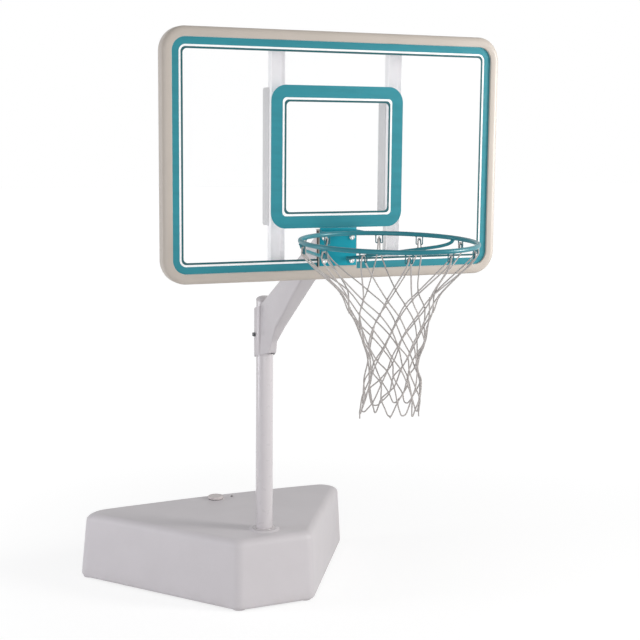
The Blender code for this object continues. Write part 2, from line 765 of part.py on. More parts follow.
# Arm
def build_arm(material, carriage):
    """One folded sheet: two cheeks joined by a web that narrows towards the pole."""
    end_y = -MOUNT_PLATE_Y - GAP
    slit = SLEEVE_FRONT + GAP
    half = math.sqrt(SLEEVE_RADIUS ** 2 - SLEEVE_FRONT ** 2)
    bottom = sleeve_bottom(-slit)
    top = sleeve_top(-slit)
    knee_z = SLEEVE_BOTTOM_Z + ARM_KNEE_ABOVE_BOTTOM
    mid_z = SLEEVE_BOTTOM_Z + ARM_MID_ABOVE_BOTTOM
    elbow_y = BOARD_REACH - ARM_ELBOW_BEHIND_BOARD
    elbow_z = FRAME_BOTTOM_Z - ARM_ELBOW_BELOW_FRAME
    plate_top = RIM_PLATE_TOP_Z
    plate_bottom = RIM_PLATE_TOP_Z - RIM_PLATE_HEIGHT
    rear = (
        half + (ARM_TOP_HALF - half) * ARM_BACK_STATION_SHARE,
        slit + (end_y - slit) * ARM_BACK_STATION_SHARE,
        top + (plate_top - top) * ARM_BACK_STATION_SHARE,
    )
    stations = [
        ((half, slit, bottom), (ARM_TOE_HALF, ARM_TOE_Y, sleeve_bottom(-ARM_TOE_Y))),
        ((half, slit, knee_z), (ARM_KNEE_HALF, ARM_KNEE_Y, knee_z)),
        ((half, slit, top), (ARM_MID_HALF, ARM_MID_Y, mid_z)),
        (rear, (ARM_ELBOW_HALF, elbow_y, elbow_z)),
        ((ARM_TOP_HALF, end_y, plate_top), (ARM_END_HALF, end_y, plate_bottom)),
    ]
    fronts = [Vector(front[1:]) for back, front in stations]
    rings = []
    for index, (back, front) in enumerate(stations):
        before = fronts[max(index - 1, 0)]
        after = fronts[min(index + 1, len(fronts) - 1)]
        along = (after - before).normalized()
        step_in = Vector((-along.y, along.x)) * ARM_SHEET
        if index == len(stations) - 1:
            step_in = Vector((0, ARM_SHEET / along.x))
        inner_reach, inner_z = fronts[index] + step_in
        rings.append([
            (-back[0], -back[1], back[2]), (-front[0], -front[1], front[2]),
            (front[0], -front[1], front[2]), (back[0], -back[1], back[2]),
            (back[0] - ARM_SHEET, -back[1], back[2]), (front[0] - ARM_SHEET, -inner_reach, inner_z),
            (ARM_SHEET - front[0], -inner_reach, inner_z), (ARM_SHEET - back[0], -back[1], back[2]),
        ])
    add_piece("arm_channel", loft(rings), material, carriage)


def build_mount_plate(material, carriage, bolt_holes):
    low = (-RIM_PLATE_HALF, FRAME_BACK_Y + GAP, RIM_PLATE_TOP_Z - RIM_PLATE_HEIGHT)
    high = (RIM_PLATE_HALF, MOUNT_PLATE_Y, RIM_PLATE_TOP_Z)
    plate = add_piece("arm_mount_plate", box(low, high), material, carriage)
    cut(plate, bolt_holes)


# Board
def rim_bolt_places():
    places = []
    for x in (-RIM_BOLT_SPACING_X / 2, RIM_BOLT_SPACING_X / 2):
        for z in (-RIM_BOLT_SPACING_Z / 2, RIM_BOLT_SPACING_Z / 2):
            places.append((x, RIM_BOLT_Z + z))
    return places


def upright_xs():
    return (-UPRIGHT_SPACING / 2, UPRIGHT_SPACING / 2)


def tab_screw_places():
    reach = PRINT_HEIGHT / 2 + BODY_OFFSET + UPRIGHT_TAB / 2
    places = []
    for x in upright_xs():
        places.append((x, BOARD_Z + reach))
        places.append((x, BOARD_Z - reach))
    return places


def rods_along_y(places, radius, front, back, sides=SMALL_SIDES):
    rods = []
    for x, z in places:
        rods.append(moved(cylinder(radius, 0, back - front, sides), at((x, front, z), (0, 1, 0))))
    return rods


def frame_outline(offset):
    width = PRINT_WIDTH + 2 * offset
    height = PRINT_HEIGHT + 2 * offset
    return board_outline(width, height, PRINT_CORNER_RADIUS + offset)


def build_frame(material, carriage, bolt_holes):
    """The moulded ring round the panel, with the solid pad that the rim bolts through."""
    edge = FRAME_EDGE_RADIUS
    section = [(0, FACE_Y - GAP), (0, FRAME_FRONT_Y)]
    for offset, depth in arc_points((FRAME_MARGIN - edge, edge), edge, -math.pi / 2, 0, 4):
        section.append((offset, FRAME_FRONT_Y + depth))
    section += [
        (FRAME_MARGIN, FRAME_BACK_Y), (BODY_OFFSET, FRAME_BACK_Y), (BODY_OFFSET, FACE_Y - GAP),
    ]
    rings = []
    for offset, y in section:
        rings.append([(x, y, z) for x, z in frame_outline(offset)])
    frame = add_piece("backboard_frame", loft(rings, caps=False), material, carriage)

    low = FRAME_BOTTOM_Z + FRAME_MARGIN / 2
    corners = [(-PAD_HALF, low), (PAD_HALF, low), (PAD_HALF, PAD_TOP_Z), (-PAD_HALF, PAD_TOP_Z)]
    pad = board_plate(rounded_corners(corners, PAD_CORNER_RADIUS, 3), FRAME_FRONT_Y, FRAME_BACK_Y)
    join(frame, add_cutter("pad_block", pad, carriage))
    cut(frame, bolt_holes)
    pilots = rods_along_y(tab_screw_places(), TAB_SCREW_RADIUS + GAP,
                          FRAME_BACK_Y - TAB_SCREW_LENGTH - GAP, FRAME_BACK_Y + OVERRUN, WIRE_SIDES * 2)
    cut(frame, add_cutter("frame_pilots", merge(*pilots), carriage))


def build_panel(material, carriage, notch):
    outline = frame_outline(PANEL_TUCK)
    panel = add_piece("clear_panel", board_plate(outline, FACE_Y, PANEL_BACK_Y), material, carriage)
    cut(panel, notch)


def add_band(name, offset, width, material, carriage, notch=None, size=None):
    """A printed film band of one width, inside the outline that lies offset from its edge."""
    if size is None:
        size = (PRINT_WIDTH, PRINT_HEIGHT, PRINT_CORNER_RADIUS, 0.0)
    full_width, full_height, radius, centre = size
    outlines = []
    for inset in (offset, offset + width):
        corner = max(radius - inset, LINE_WIDTH)
        outlines.append(board_outline(full_width - 2 * inset, full_height - 2 * inset, corner, centre))
    back = FACE_Y - GAP
    band = board_ring(outlines[0], outlines[1], back - FILM_THICKNESS, back)
    piece = add_piece(name, band, material, carriage)
    if notch is not None:
        cut(piece, notch)


def build_print(teal, carriage, notch):
    target = (TARGET_WIDTH, TARGET_HEIGHT, TARGET_CORNER_RADIUS, TARGET_Z - BOARD_Z)
    add_band("border_band", GAP, BORDER_WIDTH - GAP, teal, carriage, notch)
    add_band("border_line", BORDER_WIDTH + BORDER_LINE_GAP, LINE_WIDTH, teal, carriage, notch)
    add_band("target_band", 0, TARGET_BAND, teal, carriage, None, target)
    add_band("target_line", TARGET_BAND + TARGET_LINE_GAP, LINE_WIDTH, teal, carriage, None, target)


def build_uprights(metal, carriage):
    leg = PRINT_HEIGHT / 2 + BODY_OFFSET - 2 * GAP
    reach = leg + UPRIGHT_TAB
    web_front = FRAME_BACK_Y + GAP
    web_back = web_front + UPRIGHT_SHEET
    front = PANEL_BACK_Y + GAP
    half = UPRIGHT_WIDTH / 2
    holes = merge(*rods_along_y(tab_screw_places(), TAB_SCREW_RADIUS + GAP,
                                web_front - OVERRUN, web_back + OVERRUN, WIRE_SIDES * 2))
    tab_holes = add_cutter("tab_holes", holes, carriage)
    for name, x in zip(("left", "right"), upright_xs()):
        upright = add_piece(f"upright_{name}", box(
            (x - half, web_front, BOARD_Z - reach), (x + half, web_back, BOARD_Z + reach)), metal, carriage)
        for side in (-1, 1):
            edge = x + side * half
            inside = edge - side * UPRIGHT_SHEET
            low = (min(edge, inside), front, BOARD_Z - leg)
            high = (max(edge, inside), web_front + UPRIGHT_SHEET / 2, BOARD_Z + leg)
            join(upright, add_cutter(f"upright_{name}_leg{side}", box(low, high), carriage))
        cut(upright, tab_holes)
        build_stiffener(name, x, web_back, metal, carriage)


def build_stiffener(name, x, web_back, metal, carriage):
    """A deep channel that straddles the middle of an upright from behind, spot-welded to its legs."""
    half = UPRIGHT_WIDTH / 2 + GAP
    back = web_back + STIFFENER_DEPTH
    front = web_back - STIFFENER_LAP
    z_low = TARGET_Z - STIFFENER_LENGTH / 2
    z_high = z_low + STIFFENER_LENGTH
    outer = side_outline(front, back, z_low, z_high, STIFFENER_END_RADIUS)
    inner = side_outline(front - OVERRUN, back - UPRIGHT_SHEET, z_low - OVERRUN, z_high + OVERRUN,
                         STIFFENER_END_RADIUS)
    shell = add_piece(f"stiffener_{name}", side_plate(outer, x, half + UPRIGHT_SHEET), metal, carriage)
    cut(shell, add_cutter(f"stiffener_{name}_hollow", side_plate(inner, x, half), carriage))


def side_outline(front, back, low, high, radius):
    """A (y, z) outline whose two back corners are rounded."""
    points = [(front, low)]
    points += arc_points((back - radius, low + radius), radius, -math.pi / 2, 0, CORNER_STEPS)
    points += arc_points((back - radius, high - radius), radius, 0, math.pi / 2, CORNER_STEPS)
    points.append((front, high))
    return points


def side_plate(outline, centre, half):
    return loft([[(x, y, z) for y, z in outline] for x in (centre - half, centre + half)])


def pan_screw(radius, length):
    """A pan-head screw along +Z, with the underside of its head at z = 0."""
    head = radius * SCREW_HEAD_SHARE
    rise = radius * SCREW_HEAD_HEIGHT_SHARE
    profile = [
        (0, -length), (radius, -length), (radius, 0), (head, 0), (head, rise / 2),
        (head * SCREW_HEAD_TOP_SHARE, rise), (0, rise),
    ]
    return solid_turned(profile, WIRE_SIDES * 2)


def build_upright_screws(metal, carriage):
    seat = FRAME_BACK_Y + GAP + UPRIGHT_SHEET + GAP
    length = UPRIGHT_SHEET + TAB_SCREW_LENGTH
    for number, (x, z) in enumerate(tab_screw_places(), 1):
        screw = moved(pan_screw(TAB_SCREW_RADIUS, length), at((x, seat, z), (0, 1, 0)))
        add_piece(f"upright_screw_{number}", screw, metal, carriage)


# Rim
def rim_plane_z(y):
    return RIM_CENTRE_Z + math.tan(RIM_DROOP) * (y - RIM_CENTRE_Y)


def rim_point(angle, radius=RIM_RADIUS, drop=0.0):
    """A point round the drooping ring, some distance below its centre line."""
    y = RIM_CENTRE_Y + radius * math.sin(angle)
    return Vector((radius * math.cos(angle), y, rim_plane_z(y) - drop))


def build_rim_bracket(material, carriage, bolt_holes):
    """The bolted plate, whose top edge folds forward into a flange that ends at the ring."""
    low = (-RIM_PLATE_HALF, RIM_PLATE_FRONT_Y, RIM_PLATE_TOP_Z - RIM_PLATE_HEIGHT)
    high = (RIM_PLATE_HALF, RIM_PLATE_BACK_Y, RIM_PLATE_TOP_Z)
    bracket = add_piece("rim_bracket", box(low, high), material, carriage)
    reach = RIM_RADIUS + RIM_ROD / 2 + GAP
    spread = math.asin(RIM_FLANGE_FRONT_HALF / reach)
    fold = RIM_PLATE_FRONT_Y + RIM_SHEET / 2
    outline = [(-RIM_PLATE_HALF, fold), (RIM_PLATE_HALF, fold)]
    for step in range(CORNER_STEPS + 1):
        angle = math.pi / 2 - spread + 2 * spread * step / CORNER_STEPS
        outline.append((reach * math.cos(angle), RIM_CENTRE_Y + reach * math.sin(angle)))
    rings = []
    for side in (-RIM_SHEET / 2, RIM_SHEET / 2):
        rings.append([(x, y, rim_plane_z(y) + side) for x, y in outline])
    flange = add_cutter("rim_flange", loft(rings), carriage)
    join(bracket, flange)
    cut(bracket, bolt_holes)


def build_ring(material, carriage):
    points = [rim_point(math.tau * step / RING_STEPS) for step in range(RING_STEPS)]
    ring = tube(points, RIM_ROD / 2, RING_SIDES, closed=True)
    add_piece("rim_ring", ring, material, carriage)


def brace_path(side):
    """Straight out from the plate, then a bend up to the underside of the ring."""
    foot = Vector((side * BRACE_FOOT_X, RIM_PLATE_FRONT_Y - GAP,
                   RIM_PLATE_TOP_Z - RIM_PLATE_HEIGHT + BRACE_FOOT_ABOVE_PLATE))
    angle = BRACE_ANGLE if side > 0 else math.pi - BRACE_ANGLE
    top = rim_point(angle, drop=RIM_ROD / 2 + BRACE_WELD)
    bend = foot.lerp(top, BRACE_BEND_SHARE)
    bend.z = foot.z + (top.z - foot.z) * BRACE_RISE_SHARE
    below = Vector((top.x, top.y, bend.z + (bend.z - foot.z) * (1 / BRACE_BEND_SHARE - 1)))
    points = [foot, foot.lerp(bend, 0.5)]
    for step in range(CORNER_STEPS + 1):
        share = step / CORNER_STEPS
        first = bend.lerp(below, share)
        second = below.lerp(top, share)
        points.append(first.lerp(second, share))
    return points


def mitre_foot(brace, points):
    """Cut the rod's foot flat against the plate."""
    along = (points[1] - points[0]).normalized()
    brace.verts.ensure_lookup_table()
    for vert in brace.verts[:RING_SIDES]:
        vert.co += along * ((points[0].y - vert.co.y) / along.y)
    return brace


def build_braces(material, carriage):
    for name, side in (("left", -1), ("right", 1)):
        points = brace_path(side)
        brace = mitre_foot(tube(points, BRACE_RADIUS, RING_SIDES), points)
        add_piece(f"brace_{name}", brace, material, carriage)


def hex_radius(across_flats, angle):
    """Distance from the axis to a hexagon's side in one direction."""
    flat = (angle + math.pi / 6) % (math.pi / 3) - math.pi / 6
    return across_flats / 2 / math.cos(flat)


def round_or_hex_ring(radius, z, hexagon=False):
    points = []
    for step in range(HEX_STEPS):
        angle = math.tau * step / HEX_STEPS
        points.append(polar(hex_radius(2 * radius, angle) if hexagon else radius, angle, z))
    return points


def flange_bolt(length):
    """A bolt along +Z whose head, with its round flange, sits below z = 0."""
    half = RIM_BOLT_HEAD_ACROSS / 2
    return loft([
        round_or_hex_ring(half, -RIM_BOLT_HEAD, hexagon=True),
        round_or_hex_ring(half, -RIM_BOLT_FLANGE, hexagon=True),
        round_or_hex_ring(RIM_BOLT_FLANGE_RADIUS, -RIM_BOLT_FLANGE * 0.7),
        round_or_hex_ring(RIM_BOLT_FLANGE_RADIUS, 0),
        round_or_hex_ring(RIM_BOLT_RADIUS, 0),
        round_or_hex_ring(RIM_BOLT_RADIUS, length),
    ])


def hex_nut():
    half = RIM_NUT_ACROSS / 2
    hole = RIM_BOLT_RADIUS + GAP
    return loft([
        round_or_hex_ring(hole, 0),
        round_or_hex_ring(half, 0, hexagon=True),
        round_or_hex_ring(half, RIM_NUT_THICKNESS, hexagon=True),
        round_or_hex_ring(hole, RIM_NUT_THICKNESS),
    ], caps=False)


def build_rim_bolts(metal, carriage):
    """Flanged bolts from the front, with washers and nuts behind the mounting plate."""
    head_seat = RIM_PLATE_FRONT_Y - GAP
    back_seat = MOUNT_PLATE_Y + GAP
    nut_seat = back_seat + RIM_WASHER_THICKNESS + GAP
    length = nut_seat + RIM_NUT_THICKNESS + RIM_BOLT_TAIL - head_seat
    hole = RIM_BOLT_RADIUS + GAP
    washer = [(hole, 0), (RIM_WASHER_RADIUS, 0), (RIM_WASHER_RADIUS, RIM_WASHER_THICKNESS),
              (hole, RIM_WASHER_THICKNESS)]
    back = (0, 1, 0)
    for number, (x, z) in enumerate(rim_bolt_places(), 1):
        bolt = moved(flange_bolt(length), at((x, head_seat, z), back))
        add_piece(f"rim_bolt_{number}", bolt, metal, carriage)
        flat_washer = moved(turned(washer, HEX_STEPS), at((x, back_seat, z), back))
        add_piece(f"rim_washer_{number}", flat_washer, metal, carriage)
        nut = moved(hex_nut(), at((x, nut_seat, z), back))
        add_piece(f"rim_nut_{number}", nut, metal, carriage)


# Hooks and net
def hook_angles():
    """Angles of the hooks in order round the ring, alike on both sides of its front."""
    front = -math.pi / 2
    right = [front + angle for angle in HOOK_ANGLES]
    left = [front + math.tau - angle for angle in reversed(HOOK_ANGLES)]
    return right + left


def column_angle(column):
    """Angle of a net column: a whole number is at a hook, and a half lies between two hooks."""
    angles = hook_angles()
    count = len(angles)
    low = math.floor(column)
    ends = [angles[index % count] + math.tau * (index // count) for index in (low, low + 1)]
    return ends[0] + (ends[1] - ends[0]) * (column - low)


def hook_point(angle, across, down, out=0.0):
    """A point near a hook: across along the ring, down from its underside, out from it."""
    base = rim_point(angle, RIM_RADIUS + out, RIM_ROD / 2 + GAP + down)
    return base + Vector((-math.sin(angle), math.cos(angle), 0)) * across


def hook_path():
    """One hook as (across, down) pairs: down a leg, round, over the middle hump and up again."""
    turn_down = HOOK_DEPTH - HOOK_TURN
    inner = HOOK_HALF - 2 * HOOK_TURN
    hump = HOOK_HUMP_TOP + inner
    half = [(-HOOK_HALF, 0)]
    for across, down in arc_points((-HOOK_HALF + HOOK_TURN, turn_down), HOOK_TURN, math.pi, 0, 3):
        half.append((across, down))
    for across, down in arc_points((0, hump), inner, math.pi, 1.5 * math.pi, 3):
        half.append((across, down))
    mirrored = [(-across, down) for across, down in reversed(half[:-1])]
    return half + mirrored


def build_hooks(material, carriage):
    path = hook_path()
    for number, angle in enumerate(hook_angles(), 1):
        points = [hook_point(angle, across, down) for across, down in path]
        add_piece(f"net_hook_{number:02d}", tube(points, HOOK_WIRE, WIRE_SIDES), material, carriage)


def net_point(column, row):
    """A knot of the net: rows alternate between under a hook and under a space."""
    drop, spread = NET_ROW_SHARES[row]
    angle = column_angle(column if row % 2 else column + 1 / 2)
    radius = RIM_RADIUS * spread
    z = RIM_CENTRE_Z - RIM_ROD / 2 - HOOK_HUMP_TOP - NET_LENGTH * drop
    return Vector((radius * math.cos(angle), RIM_CENTRE_Y + radius * math.sin(angle), z))


def net_loop(angle):
    """The cord over one hook's hump. Above a brace it hangs down past it before it draws in."""
    reach = HOOK_WIRE + NET_CORD + NET_CLEARANCE
    over = HOOK_HUMP_TOP - reach
    low = HOOK_DEPTH + HOOK_WIRE
    side = HOOK_HALF / 4
    above_brace = BRACE_ANGLE < angle < math.pi - BRACE_ANGLE
    drop = low + NET_DROP if above_brace else low
    return [
        hook_point(angle, -2 * side, drop, reach), hook_point(angle, -side, low / 2, reach),
        hook_point(angle, -side / 2, over + HOOK_WIRE, reach), hook_point(angle, 0, over),
        hook_point(angle, side / 2, over + HOOK_WIRE, -reach), hook_point(angle, side, low / 2, -reach),
        hook_point(angle, 2 * side, drop, -reach),
    ]


def net_graph():
    """Points and cord stretches of the whole net."""
    points = []
    stretches = []
    rows = []
    hooks = len(hook_angles())
    for row in range(len(NET_ROW_SHARES)):
        rows.append([len(points) + column for column in range(hooks)])
        points += [net_point(column, row) for column in range(hooks)]
    for column, angle in enumerate(hook_angles()):
        loop = net_loop(angle)
        first = len(points)
        points += loop
        last = len(points) - 1
        stretches += [(index, index + 1) for index in range(first, last)]
        stretches += [(rows[0][column - 1], first), (last, rows[0][column])]
    for row in range(len(NET_ROW_SHARES) - 1):
        step = -1 if row % 2 else 1
        for column in range(hooks):
            below = rows[row + 1]
            stretches.append((rows[row][column], below[column]))
            stretches.append((rows[row][column], below[(column + step) % hooks]))
    return points, stretches


def cord_net(points, stretches, radius, sides):
    """Cords between points, with a small knot where they meet, as one closed skin."""
    bm = bmesh.new()
    ends = {index: [] for index in range(len(points))}
    for first, second in stretches:
        start, finish = points[first], points[second]
        along = (finish - start).normalized()
        side = along.cross(Vector((0, 0, 1)))
        side = side.normalized() if side.length > 0.1 else along.orthogonal().normalized()
        other = along.cross(side)
        trims = [trim_length(index, points, stretches, radius) for index in (first, second)]
        loops = []
        for place, trim, sign in ((start, trims[0], 1), (finish, trims[1], -1)):
            centre = place + along * (trim * sign)
            loops.append([
                bm.verts.new(centre + (side * math.cos(angle) + other * math.sin(angle)) * radius)
                for angle in (math.tau * step / sides for step in range(sides))
            ])
        bridge(bm, loops[0], loops[1])
        ends[first].append(loops[0])
        ends[second].append(loops[1])
    for loops in ends.values():
        close_knot(bm, loops)
    return bm


def trim_length(index, points, stretches, radius):
    """How far short of a point its cords stop, so that their ends stay clear of each other."""
    directions = []
    for first, second in stretches:
        if first == index:
            directions.append((points[second] - points[index]).normalized())
        elif second == index:
            directions.append((points[first] - points[index]).normalized())
    if len(directions) < 2:
        return 0.0
    closest = min(a.angle(b) for i, a in enumerate(directions) for b in directions[i + 1:])
    half = min(closest, KNOT_WIDEST_ANGLE) / 2
    return radius * (KNOT_REACH_SHARE / math.tan(half) + KNOT_SPARE_SHARE)


def close_knot(bm, loops):
    """Fill the hull between the ends of the cords that meet at one point."""
    if len(loops) == 1:
        bm.faces.new(loops[0])
        return
    verts = [vert for loop in loops for vert in loop]
    result = bmesh.ops.convex_hull(bm, input=verts, use_existing_faces=False)
    owner = {vert: number for number, loop in enumerate(loops) for vert in loop}
    inside = []
    for face in result["geom"]:
        if isinstance(face, bmesh.types.BMFace) and len({owner[vert] for vert in face.verts}) == 1:
            inside.append(face)
    bmesh.ops.delete(bm, geom=inside, context="FACES_ONLY")


def build_net(material, carriage):
    points, stretches = net_graph()
    add_piece("net", cord_net(points, stretches, NET_CORD, CORD_SIDES), material, carriage)


# Assembly
def build():
    clear_scene()
    moulded_base = make_material("moulded_base", LIGHT_GREY, 0.55)
    moulded_frame = make_material("moulded_frame", MOULDED_GREY, 0.50)
    painted = make_material("painted_steel", LIGHT_GREY, 0.35)
    plastic = make_material("grey_plastic", (0.62, 0.61, 0.62), 0.45)
    dark_plastic = make_material("dark_rubber", (0.05, 0.05, 0.05), 0.70)
    water = make_material("water", (0.55, 0.75, 0.80), 0.10, alpha=0.4)
    clear = make_material("clear_sheet", (0.95, 0.97, 0.97), 0.05, alpha=0.15)
    teal_print = make_material("teal_print", TEAL, 0.40)
    teal_rim = make_material("teal_rim", TEAL, 0.30)
    teal_plate = make_material("teal_plate", BRIGHT_TEAL, 0.30)
    zinc = make_material("zinc_steel", (0.60, 0.60, 0.60), 0.35, metallic=1.0)
    dark_steel = make_material("dark_steel", (0.10, 0.10, 0.10), 0.45, metallic=1.0)
    aluminium = make_material("upright_metal", (0.80, 0.80, 0.80), 0.40)
    cord = make_material("net_cord", (0.85, 0.83, 0.80), 0.80)

    base = make_axis("base_axis", (0, 0, 0))
    pole_axis = make_axis("pole_axis", (0, 0, 0))
    carriage = make_axis("carriage_axis", (0, 0, SLEEVE_TOP_Z), pole_axis)
    lock_axis = make_axis("lock_axis", (0, 0, LOCK_Z), carriage)

    boss_top, seat_top = build_tank(moulded_base, base)
    cap_axis = make_axis("cap_axis", (MOUTH_X, MOUTH_Y, seat_top), base)
    build_ballast(water, base)
    build_bushing(plastic, boss_top, base)
    build_cap(plastic, dark_plastic, seat_top, cap_axis)
    base.rotation_euler.z = TANK_TURN

    build_pole(painted, plastic, pole_axis)
    build_sleeve(painted, carriage)
    build_saddle(plastic, carriage)
    build_lock_screw(dark_steel, lock_axis)
    build_arm(painted, carriage)

    bolt_rods = rods_along_y(rim_bolt_places(), RIM_BOLT_RADIUS + GAP,
                             RIM_PLATE_FRONT_Y - OVERRUN, MOUNT_PLATE_Y + OVERRUN)
    bolt_holes = add_cutter("rim_bolt_holes", merge(*bolt_rods), carriage)
    notch_low = (-PAD_HALF - PAD_NOTCH_GAP, FACE_Y - OVERRUN, FRAME_BOTTOM_Z)
    notch_high = (PAD_HALF + PAD_NOTCH_GAP, PANEL_BACK_Y + OVERRUN, PAD_TOP_Z + PAD_NOTCH_GAP)
    notch = add_cutter("pad_notch", box(notch_low, notch_high), carriage)

    build_mount_plate(painted, carriage, bolt_holes)
    build_frame(moulded_frame, carriage, bolt_holes)
    build_panel(clear, carriage, notch)
    build_print(teal_print, carriage, notch)
    build_uprights(aluminium, carriage)
    build_upright_screws(zinc, carriage)
    build_rim_bracket(teal_plate, carriage, bolt_holes)
    build_ring(teal_rim, carriage)
    build_braces(teal_rim, carriage)
    build_rim_bolts(zinc, carriage)
    build_hooks(teal_rim, carriage)
    build_net(cord, carriage)


build()
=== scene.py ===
"""Studio view of the poolside hoop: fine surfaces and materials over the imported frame."""
import random
from math import asin, cos, floor, pi, radians, sin, sqrt, tan, tau

import bmesh
import bpy
from mathutils import Matrix, Vector, noise


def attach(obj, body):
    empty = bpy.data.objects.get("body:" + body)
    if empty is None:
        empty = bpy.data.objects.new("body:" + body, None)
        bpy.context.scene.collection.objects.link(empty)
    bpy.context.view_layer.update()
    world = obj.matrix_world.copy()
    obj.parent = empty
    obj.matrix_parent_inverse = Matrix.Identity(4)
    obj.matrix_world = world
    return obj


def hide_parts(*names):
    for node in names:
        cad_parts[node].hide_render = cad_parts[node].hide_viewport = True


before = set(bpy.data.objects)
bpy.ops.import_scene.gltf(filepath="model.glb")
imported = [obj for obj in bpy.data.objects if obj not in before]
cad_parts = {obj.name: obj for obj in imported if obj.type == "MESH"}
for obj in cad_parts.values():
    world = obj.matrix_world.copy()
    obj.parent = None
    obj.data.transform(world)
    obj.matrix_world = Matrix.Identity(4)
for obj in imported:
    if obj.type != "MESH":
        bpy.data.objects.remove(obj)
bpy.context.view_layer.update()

SHUFFLE = random.Random(7)

# Sizes repeated from the part, in metres
GAP = 0.0003

TANK_FRONT_HALF, TANK_REAR_HALF, TANK_FRONT, TANK_REAR = 0.137, 0.538, 0.1055, 0.4835
TANK_CORNERS = [(-TANK_FRONT_HALF, -TANK_FRONT), (TANK_FRONT_HALF, -TANK_FRONT),
                (TANK_REAR_HALF, TANK_REAR), (-TANK_REAR_HALF, TANK_REAR)]
TANK_HEIGHT, TANK_WALL, TANK_DRAFT = 0.2295, 0.005, 0.009
TANK_CORNER_RADIUS, TANK_DECK_RADIUS, TANK_BOTTOM_RADIUS = 0.040, 0.028, 0.012
TANK_TURN = radians(1.66)
DECK_RISE, DECK_CROWN = 0.0015, 0.0075
FOOT_HEIGHT, FOOT_RADIUS, FOOT_INSET, POLE_PAD_RADIUS = 0.004, 0.022, 0.034, 0.048
VENT_RADIUS, VENT_X, VENT_Y = 0.0025, 0.048, 0.4095
SOCKET_RADIUS, SOCKET_FLOOR = 0.032275, 0.012
SOCKET_BOSS_RADIUS, SOCKET_BOSS_RISE = 0.0465, 0.0045
MOUTH_RADIUS, MOUTH_X, MOUTH_Y = 0.0200, -0.0172, 0.403
MOUTH_SEAT_RADIUS, MOUTH_SEAT_RISE = 0.0300, 0.0012
GASKET_THICKNESS = 0.0016
CAP_RADIUS, CAP_HEIGHT, CAP_EDGE_RADIUS = 0.0280, 0.0100, 0.0045
CAP_PLUG_DEPTH, CAP_PLUG_WALL, CAP_LOBES, CAP_LOBE_DEPTH = 0.0160, 0.0030, 12, 0.0012

POLE_RADIUS, POLE_WALL, POLE_BOTTOM_Z, POLE_TOP_Z = 0.028575, 0.0020, 0.0176, 1.0096
POLE_CAP_DOME, POLE_CAP_LIP, POLE_CAP_INSERT = 0.0150, 0.0006, 0.018
SLEEVE_TOP_Z, SLEEVE_BOTTOM_Z, LOCK_Z = 0.9861, 0.8265, 0.8981
SLEEVE_RADIUS, SLEEVE_SHEET, SLEEVE_FRONT, SEAM = 0.0350, 0.0030, 0.0239, 0.0018
SLEEVE_TOP_SLOPE, SLEEVE_BOTTOM_SLOPE = 0.425, 0.28
LOCK_SCREW_RADIUS, LOCK_HEAD_ACROSS, LOCK_HEAD_THICKNESS = 0.0040, 0.0120, 0.0070

FACE_Y, FRAME_FRONT_Y, FRAME_BACK_Y, PANEL_BACK_Y = -0.5595, -0.5655, -0.5305, -0.5545
PRINT_WIDTH, PRINT_HEIGHT, PRINT_CORNER_RADIUS = 0.985, 0.6412, 0.040
FRAME_MARGIN, BODY_OFFSET = 0.028, 0.0103
FRAME_BOTTOM_Z, BOARD_Z, PAD_TOP_Z, PAD_HALF = 1.1385, 1.4871, 1.2823, 0.0610
PAD_CORNER_RADIUS, PAD_FACE_DEPTH, PAD_BODY_HALF, MOUNT_PLATE_HALF = 0.006, 0.0085, 0.0500, 0.0515
FILM_THICKNESS, BORDER_WIDTH, BORDER_LINE_GAP, LINE_WIDTH = 0.0004, 0.0205, 0.0055, 0.0056
TARGET_WIDTH, TARGET_HEIGHT, TARGET_Z = 0.4095, 0.3995, 1.4861
TARGET_BAND, TARGET_CORNER_RADIUS, TARGET_LINE_GAP = 0.0345, 0.045, 0.0060
UPRIGHT_SPACING, UPRIGHT_WIDTH, UPRIGHT_SHEET, UPRIGHT_TAB = 0.363, 0.043, 0.0020, 0.0150
STIFFENER_LENGTH, STIFFENER_DEPTH, STIFFENER_LAP, STIFFENER_END_RADIUS = 0.384, 0.034, 0.013, 0.014

ARM_SHEET = 0.0030
ARM_TOE_HALF, ARM_TOE_Y = 0.0140, 0.0665
ARM_KNEE_HALF, ARM_KNEE_Y, ARM_KNEE_Z = 0.0100, 0.0840, 0.8835
ARM_MID_HALF, ARM_MID_Y, ARM_MID_Z = 0.0190, 0.1385, 0.9400
ARM_ELBOW_HALF, ARM_ELBOW_Y, ARM_ELBOW_Z = 0.0272, 0.3515, 1.1096
ARM_END_HALF, ARM_TOP_HALF, MOUNT_PLATE_Y = 0.0285, 0.0340, -0.5272
ARM_BACK_SHARE = 0.62

RIM_PLATE_HALF, RIM_PLATE_TOP_Z, RIM_PLATE_HEIGHT, RIM_SHEET = 0.0572, 1.2805, 0.1030, 0.0030
RIM_PLATE_BACK_Y, RIM_PLATE_FRONT_Y, RIM_PLATE_LIP = -0.5658, -0.5688, 0.0062
RIM_PLATE_LOW_Z = RIM_PLATE_TOP_Z - RIM_PLATE_HEIGHT
RIM_FLANGE_FRONT_HALF, RIM_ROD, RIM_RADIUS = 0.0660, 0.0127, 0.23495
RIM_CENTRE_Y, RIM_DROOP = -0.88955, radians(1.58)
RIM_CENTRE_Z = RIM_PLATE_TOP_Z - RIM_SHEET / 2 - tan(RIM_DROOP) * (RIM_PLATE_FRONT_Y - RIM_CENTRE_Y)
RIM_BOLT_X, RIM_BOLT_Z, RIM_BOLT_SPACING_Z = 0.0435, 1.2250, 0.0670
RIM_BOLT_RADIUS, RIM_BOLT_HEAD_ACROSS, RIM_BOLT_HEAD = 0.0040, 0.0115, 0.0055
RIM_BOLT_FLANGE_RADIUS, RIM_BOLT_FLANGE = 0.0080, 0.0016
